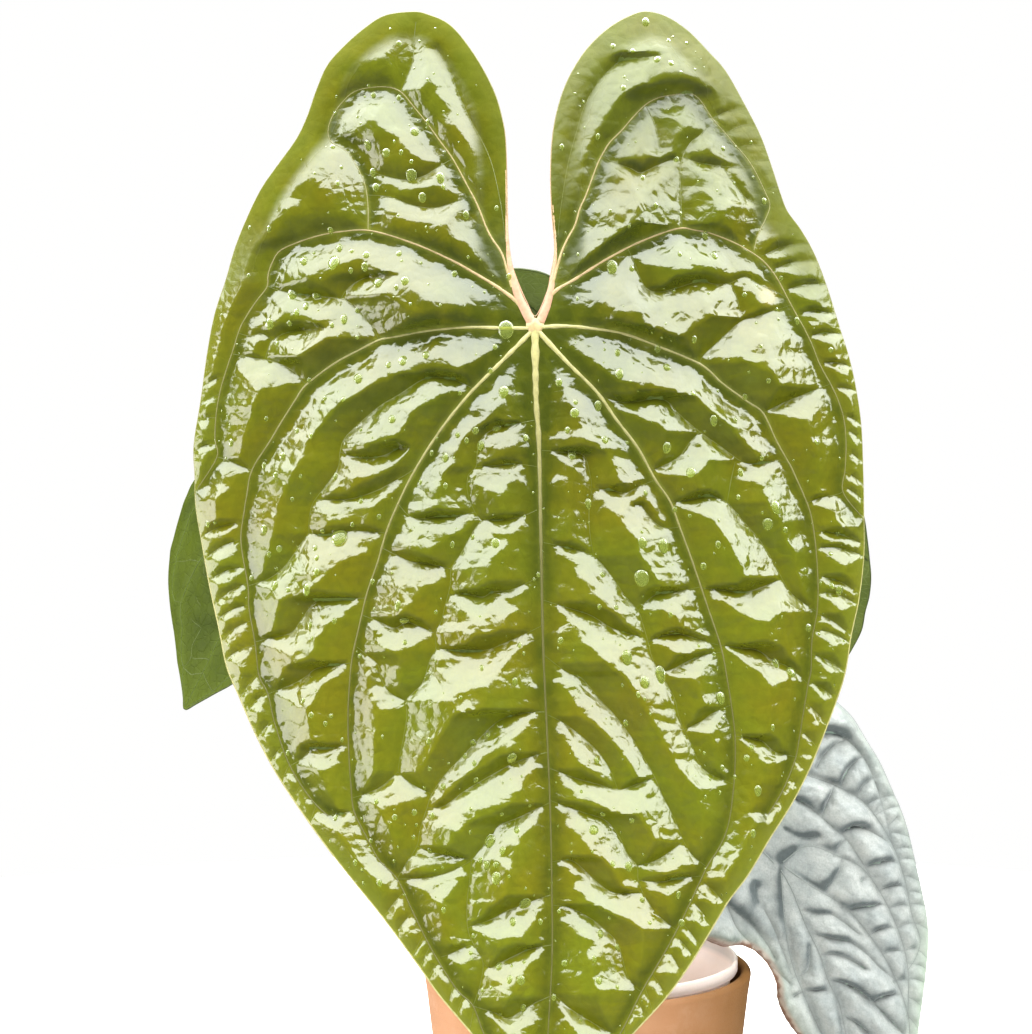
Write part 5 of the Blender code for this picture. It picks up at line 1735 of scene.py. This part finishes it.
@dataclass
class Turned:
    """A closed turned piece: its name, the steps round it, and the profile that its kind gives."""

    name: str
    segments: int = 128
    weld: float = 1e-6
    sliver: float = 1e-7
    crease: float = 40.0

    def profile(self) -> list:
        """Points of (radius, height), outside first, which start and end on the axis."""
        raise NotImplementedError

    def build(self, finish: Material) -> Object:
        """The piece, spun from its profile in edit mode.

        Args:
            finish: Its material.

        Returns:
            The piece.
        """
        bpy.ops.object.select_all(action="DESELECT")
        data = bpy.data.meshes.new(self.name)
        corners = [(radius, 0.0, height) for radius, height in self.profile()]
        data.from_pydata(corners, [(i, i + 1) for i in range(len(corners) - 1)], [])
        piece = bpy.data.objects.new(self.name, data)
        bpy.context.scene.collection.objects.link(piece)
        bpy.context.view_layer.objects.active = piece
        piece.select_set(True)
        bpy.ops.object.mode_set(mode="EDIT")
        bpy.ops.mesh.select_all(action="SELECT")
        bpy.ops.mesh.spin(steps=self.segments, angle=2 * math.pi, center=(0, 0, 0), axis=(0, 0, 1),
                          dupli=False)
        bpy.ops.mesh.select_all(action="SELECT")
        bpy.ops.mesh.remove_doubles(threshold=self.weld)
        bpy.ops.mesh.dissolve_degenerate(threshold=self.sliver)
        bpy.ops.mesh.select_all(action="SELECT")
        bpy.ops.mesh.normals_make_consistent(inside=False)
        bpy.ops.object.mode_set(mode="OBJECT")
        data.materials.append(finish)
        data.shade_smooth()
        data.set_sharp_from_angle(angle=math.radians(self.crease))
        piece.select_set(False)
        return piece


@dataclass
class CoverPot(Turned):
    """The terracotta cover pot: a plain cone with a rounded lip."""

    height: float = 0.118
    top_radius: float = 0.0605
    foot_radius: float = 0.0460
    wall: float = 0.0038
    floor: float = 0.0060
    edge: float = 0.0015
    cove: float = 0.0030

    def profile(self) -> list:
        """Points of (radius, height) from the axis under the foot round to the axis inside."""
        lip = self.wall / 2
        inner = self.foot_radius - self.wall
        points = [(0.0, 0.0)]
        points += arc((self.foot_radius - self.edge, self.edge), self.edge, -90, 0, 4)
        slope = (self.top_radius - self.foot_radius) / self.height
        for share in (0.25, 0.5, 0.75, 0.93):
            level = share * self.height
            points.append((self.foot_radius + slope * level, level))
        points += arc((self.top_radius - lip, self.height - lip), lip, 0, 180, 12)
        points.append((inner + slope * 0.5 * self.height, 0.5 * self.height))
        points += arc((inner - self.cove, self.floor + self.cove), self.cove, 0, -90, 5)
        return points + [(0.0, self.floor)]


@dataclass
class NurseryPot(Turned):
    """The thin whitish pot inside: a cone to its neck, a flaring collar and an upright rim."""

    foot: float = 0.0063
    foot_radius: float = 0.0380
    neck: float = 0.1050
    neck_radius: float = 0.0517
    collar: float = 0.1150
    collar_radius: float = 0.0531
    top: float = 0.1220
    top_radius: float = 0.0556
    rim: float = 0.0045
    wall: float = 0.0012

    def profile(self) -> list:
        """Points of (radius, height), outside first."""
        wall, lip, soft = self.wall, self.wall / 2, 0.0004
        shoulder = self.top - self.rim
        return [
            (0.0, self.foot), (self.foot_radius - wall, self.foot), (self.foot_radius, self.foot + wall),
            (self.neck_radius - soft, self.neck - 0.003), (self.neck_radius, self.neck),
            (self.collar_radius, self.collar), (self.top_radius - soft, shoulder - soft),
            (self.top_radius, shoulder + soft), *arc((self.top_radius - lip, self.top - lip), lip, 0, 180, 8),
            (self.top_radius - wall, shoulder), (self.collar_radius - wall, self.collar - wall),
            (self.neck_radius - wall, self.neck), (self.foot_radius - wall, self.foot + 2 * wall),
            (self.foot_radius - 2 * wall, self.foot + wall), (0.0, self.foot + wall),
        ]


@dataclass(frozen=True)
class Chips:
    """A kind of chips on the bed."""

    name: str
    count: int
    size: tuple  # smallest and largest length, in metres
    shape: tuple  # width and thickness as shares of the length
    shades: tuple  # lowest and highest shade value
    rough: float  # how broken they are
    seed: int

    def chip(self, seed: int) -> tuple:
        """Corners and faces of one broken chip: a subdivided block with its corners moved."""
        bpy.ops.object.select_all(action="DESELECT")
        bpy.ops.mesh.primitive_cube_add(size=1.0)
        bpy.ops.object.mode_set(mode="EDIT")
        bpy.ops.mesh.select_all(action="SELECT")
        bpy.ops.mesh.subdivide(number_cuts=1, smoothness=0.55)
        bpy.ops.object.mode_set(mode="OBJECT")
        corners, faces = taken(bpy.context.object)
        return corners + corners * self.rough * ripple(corners, 0.8, seed)[:, None], faces


@dataclass
class Filling:
    """The potting mix: a bumpy bed with bark, fibre and perlite on it."""

    low: float = 0.0078
    low_radius: float = 0.0362
    top: float = 0.1000
    top_radius: float = 0.0486
    hole: float = 0.0112
    seed: int = 7

    def build_bed(self, finish: Material) -> Object:
        """The bed: a closed body whose top is bumpy, with a hollow where the crown stands.

        Args:
            finish: Its material.

        Returns:
            The piece.
        """
        rings, spokes = 26, 96
        way = circle(spokes)
        rows = [np.column_stack([self.low_radius * way, np.full(spokes, self.low)])]
        for radius in np.linspace(self.top_radius, 0.0, rings)[:-1]:
            flat = radius * way
            bumps = 0.0013 * ripple(flat, 0.006, self.seed) + 0.0008 * ripple(flat, 0.0028, self.seed + 1)
            bumps -= 0.002 * (radius < self.hole)
            rows.append(np.column_stack([flat, self.top - 0.0015 + bumps]))
        rows.append([(0.0, 0.0, self.low), (0.0, 0.0, self.top - 0.004)])
        faces = [face[1:] + face[:1] for face in round_faces(rings, spokes)]
        bed = Heap()
        bed.add(np.vstack(rows), faces, age=0.15)
        return bed.build("mix_bed", finish, 70.0)

    def scatter(self, chips: Chips, finish: Material) -> Object:
        """Chips lying on the bed, in one piece.

        Args:
            chips: Their kind.
            finish: Their material.

        Returns:
            The piece.
        """
        rng = np.random.default_rng(chips.seed)
        kinds = [chips.chip(chips.seed + k) for k in range(3)]
        heap = Heap()
        for index in range(chips.count):
            corners, faces = kinds[index % 3]
            radius = math.sqrt(rng.uniform((self.hole / self.top_radius) ** 2, 0.93)) * self.top_radius
            around = rng.uniform(0, 2 * math.pi)
            length = rng.uniform(*chips.size)
            turn = Vector(rng.normal(size=3) * (1.0, 1.0, 0.12)).normalized().to_track_quat("X", "Z")
            body = corners * (length, length * chips.shape[0], length * chips.shape[1])
            level = self.top - rng.uniform(0.0012, 0.0032)
            place = (radius * math.cos(around), radius * math.sin(around), level)
            heap.add(body @ np.array(turn.to_matrix()).T + place, faces, age=rng.uniform(*chips.shades))
        return heap.build(chips.name, finish, 35.0)


@dataclass
class Crown:
    """The short stem: a fibrous body, dry strips of old leaf sheaths, and a few short roots."""

    base: float = 0.0845
    top: float = 0.1170
    radius: float = 0.0102
    strips: int = 64
    roots: int = 7
    root_level: float = 0.1035
    seed: int = 17

    def build_body(self, finish: Material) -> Object:
        """The ringed body.

        Args:
            finish: Its material.

        Returns:
            The piece.
        """
        rings, spokes, ring_gap = 22, 48, 0.0052
        way = circle(spokes)
        rows = []
        for level in np.linspace(self.base, self.top, rings):
            share = (level - self.base) / (self.top - self.base)
            radius = self.radius * (1.0 - 0.32 * ramp(share, 0.80, 1.0))
            flat = np.column_stack([way, np.full(spokes, level * 120)])
            wobble = radius * (0.95 + 0.045 * np.clip(ripple(flat, 0.9, self.seed), -1, 1))
            wobble *= 1.0 - 0.03 * math.cos(level * 2 * math.pi / ring_gap)
            rows.append(np.column_stack([way * wobble[:, None], np.full(spokes, level)]))
        rows.append([(0.0, 0.0, self.base), (0.0, 0.0, self.top)])
        body = Heap()
        body.add(np.vstack(rows), round_faces(rings, spokes), age=0.35)
        return body.build("crown_body", finish, 50.0)

    def build_fibres(self, finish: Material) -> Object:
        """Dry strips that stand up round the stalks, and roots that bend into the mix.

        Args:
            finish: Its material.

        Returns:
            The piece.
        """
        rng = np.random.default_rng(self.seed)
        tubes = Tubes()
        for _ in range(self.strips):
            around = rng.uniform(0, 2 * math.pi)
            way = np.array((math.cos(around), math.sin(around), 0.0))
            height = rng.uniform(0.010, 0.026)
            start = way * self.radius * 0.93 + (0.0, 0.0, self.top - rng.uniform(0.006, 0.017))
            lean = rng.uniform(-0.15, 0.35)
            drift = rng.normal(size=3) * (0.0012, 0.0012, 0.0)
            line = [start, start + way * 0.0006 + (0, 0, 0.35 * height), start + way * lean * 0.004 + drift
                    + (0, 0, 0.7 * height), start + way * lean * 0.009 + drift * 2 + (0, 0, height)]
            path = smooth_line(line, 0.0018)
            share = np.linspace(0.0, 1.0, len(path))
            radii = rng.uniform(0.0004, 0.0012) * (1.0 - 0.85 * share)
            tubes.lay(path, np.tile(way, (len(path), 1)), radii, 5, 0.3, rng.uniform(0.3, 1.0))
        for index in range(self.roots):
            around = 2 * math.pi * (index + rng.uniform(-0.3, 0.3)) / self.roots
            way = np.array((math.cos(around), math.sin(around), 0.0))
            start = way * self.radius * 0.85 + (0.0, 0.0, self.root_level + rng.uniform(0.0, 0.005))
            line = [start, start + way * 0.004 + (0, 0, 0.0005), start + way * 0.008 - (0, 0, 0.0025),
                    start + way * 0.0095 - (0, 0, 0.0085)]
            path = smooth_line(line, 0.0010)
            radii = np.linspace(0.0014, 0.0010, len(path))
            tubes.lay(path, np.tile((0.1, 0.2, 1.0), (len(path), 1)), radii, 9, 1.0, 0.9)
        return tubes.build("crown_fibres", finish)


@dataclass
class Studio:
    """Pale floor, soft light and the camera at the photograph's viewpoint."""

    floor_radius: float = 0.90
    floor_colour: tuple = (0.90, 0.90, 0.885)
    air: tuple = (1.0, 1.0, 0.995)
    seen: float = 1.0
    sheen: float = 0.05
    fill: float = 0.33

    def build_floor(self) -> None:
        """A plain round floor."""
        bpy.ops.object.select_all(action="DESELECT")
        bpy.ops.mesh.primitive_circle_add(vertices=96, radius=self.floor_radius, fill_type="NGON",
                                          location=(0, 0, -0.0004))
        floor = bpy.context.object
        floor.name = "studio_floor"
        bench = NodeBench("studio_floor")
        soft = bench.between(bench.noise(6.0), 0.0, 1.0, 0.80, 0.90)
        floor.data.materials.append(bench.finish(Base_Color=self.floor_colour, Roughness=soft))
        floor.visible_glossy = False

    def build_air(self) -> None:
        """World: near white where it is seen, dimmer where it lights, and dimmest in gloss."""
        world = bpy.data.worlds.new("studio_air")
        bpy.context.scene.world = world
        world.use_nodes = True
        tree = world.node_tree
        tree.nodes.clear()
        path = tree.nodes.new("ShaderNodeLightPath")
        last = None
        for ray, strength in ((None, self.fill), ("Is Glossy Ray", self.sheen), ("Is Camera Ray", self.seen)):
            air = tree.nodes.new("ShaderNodeBackground")
            air.inputs["Color"].default_value = (*self.air, 1.0)
            air.inputs["Strength"].default_value = strength
            if ray is None:
                last = air.outputs[0]
                continue
            mix = tree.nodes.new("ShaderNodeMixShader")
            tree.links.new(path.outputs[ray], mix.inputs[0])
            tree.links.new(last, mix.inputs[1])
            tree.links.new(air.outputs[0], mix.inputs[2])
            last = mix.outputs[0]
        tree.links.new(last, tree.nodes.new("ShaderNodeOutputWorld").inputs["Surface"])

    @staticmethod
    def softbox(name: str, place: tuple, aim: tuple, size: tuple, radiance: float, colour: tuple) -> None:
        """A rectangular light.

        Args:
            name: Its name.
            place: Its centre.
            aim: Point that it faces.
            size: Its width and height.
            radiance: Brightness of its face.
            colour: Its colour.
        """
        light = bpy.data.lights.new(name, "AREA")
        light.shape = "RECTANGLE"
        light.size, light.size_y = size
        light.energy = radiance * math.pi * size[0] * size[1]
        light.color = colour
        lamp = bpy.data.objects.new(name, light)
        lamp.location = place
        lamp.rotation_euler = (Vector(aim) - Vector(place)).to_track_quat("-Z", "Y").to_euler()
        lamp.visible_camera = False
        bpy.context.scene.collection.objects.link(lamp)

    def build_lights(self) -> None:
        """A wide box above and in front, a low side fill, and one behind for the back."""
        for box in (
                ("key_box", (0.50, -0.617, 1.720), (0.50, 0.203, 0.460), (7.0, 2.03), 7.8, (0.96, 1, 0.965)),
                ("pot_side_box", (-1.05, -0.30, 0.20), (-0.06, 0.0, 0.08), (0.7, 0.5), 5.0, (1, 0.98, 0.95)),
                ("top_box", (0.0, 0.75, 2.1), (0.0, 0.2, 0.2), (3.0, 1.2), 5.0, (1, 1, 0.98)),
                ("back_box", (-0.5, 1.7, 1.2), (0, 0, 0.25), (1.8, 1.2), 2.4, (1, 1, 0.98))):
            self.softbox(*box)

    def build_camera(self) -> None:
        """Level camera at the eye."""
        lens = bpy.data.cameras.new("photo_camera")
        lens.sensor_width = SENSOR_MM
        lens.sensor_fit = "AUTO"
        lens.lens = FOCAL * SENSOR_MM / SHEET_HEIGHT
        lens.clip_start = 0.01
        camera = bpy.data.objects.new("photo_camera", lens)
        camera.location = EYE
        camera.rotation_euler = (math.pi / 2, 0.0, 0.0)
        bpy.context.scene.collection.objects.link(camera)
        bpy.context.scene.camera = camera

    def build(self) -> None:
        """Everything round the object."""
        bpy.context.scene.view_settings.view_transform = "Standard"
        self.build_camera()
        self.build_floor()
        self.build_air()
        self.build_lights()


def settle(piece: Object, slot: str, *nodes: str) -> None:
    """Makes a piece part of the object, and reports it.

    Args:
        piece: The piece, in place.
        slot: Not used.
        nodes: Frame nodes that it stands for.
    """
    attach(piece, "root")
    if nodes:
        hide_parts(*nodes)
    LOG.info("%s: %d faces", piece.name, len(piece.data.polygons))


def settle_leaf(leaf: Leaf, key: str, slot: str, finishes: tuple, steps: tuple) -> None:
    """Settles a leaf's blade, its cords and its net.

    Args:
        leaf: The leaf.
        key: The word that its pieces' names and its node share.
        slot: Handed on to settle, which does not use it.
        finishes: Materials of its upper side, its under side, its cords and its net.
        steps: Distance between points of its cords and of its net, in sheet units.
    """
    upper, under, cord, net = finishes
    settle(leaf.build_blade(upper, under), slot, "blade_" + key)
    settle(leaf.build_cords(key + "_veins", cord, steps[0]), slot)
    settle(leaf.build_net(key + "_net", net, steps[1]), slot)


def build_leaves() -> dict:
    """The four leaves with their cords, and the front leaf's drops.

    Returns:
        The leaves by the word that their pieces' names share.
    """
    cord = VeinCord("vein_cord", near=(0.40, 0.36, 0.15), far=(0.084, 0.078, 0.019),
                    pink=(0.47, 0.26, 0.17)).build()
    net = VeinCord("net_line", near=(0.098, 0.104, 0.012), far=(0.066, 0.078, 0.006),
                   pink=(0.2, 0.2, 0.04)).build()
    dull = VeinCord("dull_vein", near=(0.056, 0.076, 0.006), far=(0.042, 0.060, 0.003),
                    pink=(0.13, 0.18, 0.05), roughness=0.5).build()
    pale = VeinCord("silver_vein", near=(0.165, 0.180, 0.172), far=(0.120, 0.134, 0.130),
                    pink=(0.20, 0.10, 0.06)).build()
    green_under = LeafUnderside("green_underside", (0.085, 0.112, 0.013), (0.058, 0.082, 0.008),
                                (0.092, 0.122, 0.022)).build()
    silver_under = LeafUnderside("silver_underside", (0.210, 0.260, 0.230), (0.150, 0.200, 0.170),
                                 (0.260, 0.310, 0.260)).build()
    hind_finishes = (DarkLeaf().build(), green_under, dull, dull)

    front = FrontLeaf()
    settle_leaf(front, "front", "glossy_leaf", (GlossyLeaf().build(), green_under, cord, net), (4.5, 4.5))
    settle(front.build_notch(cord), "glossy_leaf")
    drops = Drops(front, DROPS, 720, 3, FRONT_WIDTH / FRONT_UNITS).build("water_drops", Water().build())
    drops.visible_shadow = False
    settle(drops, "glossy_leaf")

    left = HindLeaf("left_blade", Carry(LEFT_BEND.centre, (-101, 219), (182, 84)), LEFT_BEND,
                    Relief(0.0010, 7.0, 6.0, 12.0, 0.3, 0.6), 2.3, 0.5, 1.0, 41)
    settle_leaf(left, "left", "dark_leaf", hind_finishes, (4.0, 5.0))
    right = HindLeaf("right_blade", Carry(RIGHT_BEND.centre, (30, 365), (564, 108)), RIGHT_BEND,
                     Relief(0.0032, 9.0, 20.0, 18.0, 0.3, 1.0), 3.4, 0.85, -1.0, 43)
    settle_leaf(right, "right", "dark_leaf", hind_finishes, (5.0, 6.0))
    silver = SilverBlade()
    settle_leaf(silver, "silver", "silver_leaf", (SilverLeaf().build(), silver_under, pale, pale), (3.0, 3.0))
    return {"front": front, "left": left, "right": right, "silver": silver}


def build_stalks(leaves: dict) -> None:
    """The four stalks.

    Args:
        leaves: The leaves that they carry.
    """
    finish = StalkSkin().build()
    for plan in (
            StalkPlan("front", (-0.0006, -0.0052), (-0.03, -0.05, 1.0), leave=0.42, arrive=0.30, droop=0.55),
            StalkPlan("left", (-0.0050, 0.0022), (-0.16, 0.06, 1.0), leave=0.45, arrive=0.18, droop=2.4),
            StalkPlan("right", (0.0022, 0.0052), (0.04, 0.13, 1.0), leave=0.40, arrive=0.30, droop=0.6),
            StalkPlan("silver", (0.0056, -0.0012), (0.22, 0.03, 1.0), leave=0.75, arrive=0.60, droop=0.9)):
        settle(Stalk(plan, leaves[plan.key]).build(finish), "stalk_green", "petiole_" + plan.key)


def build_pots() -> None:
    """Cover pot, nursery pot, the filling with its chips, and the crown."""
    settle(CoverPot("cover_pot").build(Terracotta().build()), "terracotta", "outer_pot")
    settle(NurseryPot("nursery_pot").build(MilkyPlastic().build()), "pale_plastic", "liner_pot")
    bark = Crumb("bark_crumb", dark=(0.030, 0.018, 0.010), light=(0.150, 0.085, 0.045), grain=420.0).build()
    perlite = Crumb("perlite", dark=(0.42, 0.40, 0.36), light=(0.72, 0.71, 0.68), grain=700.0).build()
    filling = Filling()
    settle(filling.build_bed(bark), "bark_mix", "potting_mix")
    bark_chips = Chips("bark_chips", 330, (0.004, 0.0115), (0.62, 0.34), (0.1, 1.0), 0.34, 21)
    grains = Chips("perlite_grains", 120, (0.0018, 0.0040), (0.9, 0.8), (0.2, 1.0), 0.22, 23)
    settle(filling.scatter(bark_chips, bark), "bark_mix")
    settle(filling.scatter(grains, perlite), "bark_mix")
    fibre = Crumb("crown_fibre", dark=(0.060, 0.038, 0.020), light=(0.260, 0.185, 0.100), grain=900.0).build()
    crown = Crown()
    settle(crown.build_body(fibre), "stem_bark", "crown")
    settle(crown.build_fibres(fibre), "stem_bark")


def write_size() -> None:
    """Brings the view layer up to date."""
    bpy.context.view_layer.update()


def main() -> None:
    """Builds the studio, the pots, the leaves and the stalks in order."""
    logging.basicConfig(level=logging.INFO, format="%(message)s")
    Studio().build()
    build_pots()
    leaves = build_leaves()
    build_stalks(leaves)
    write_size()


if __name__ == "__main__":
    main()
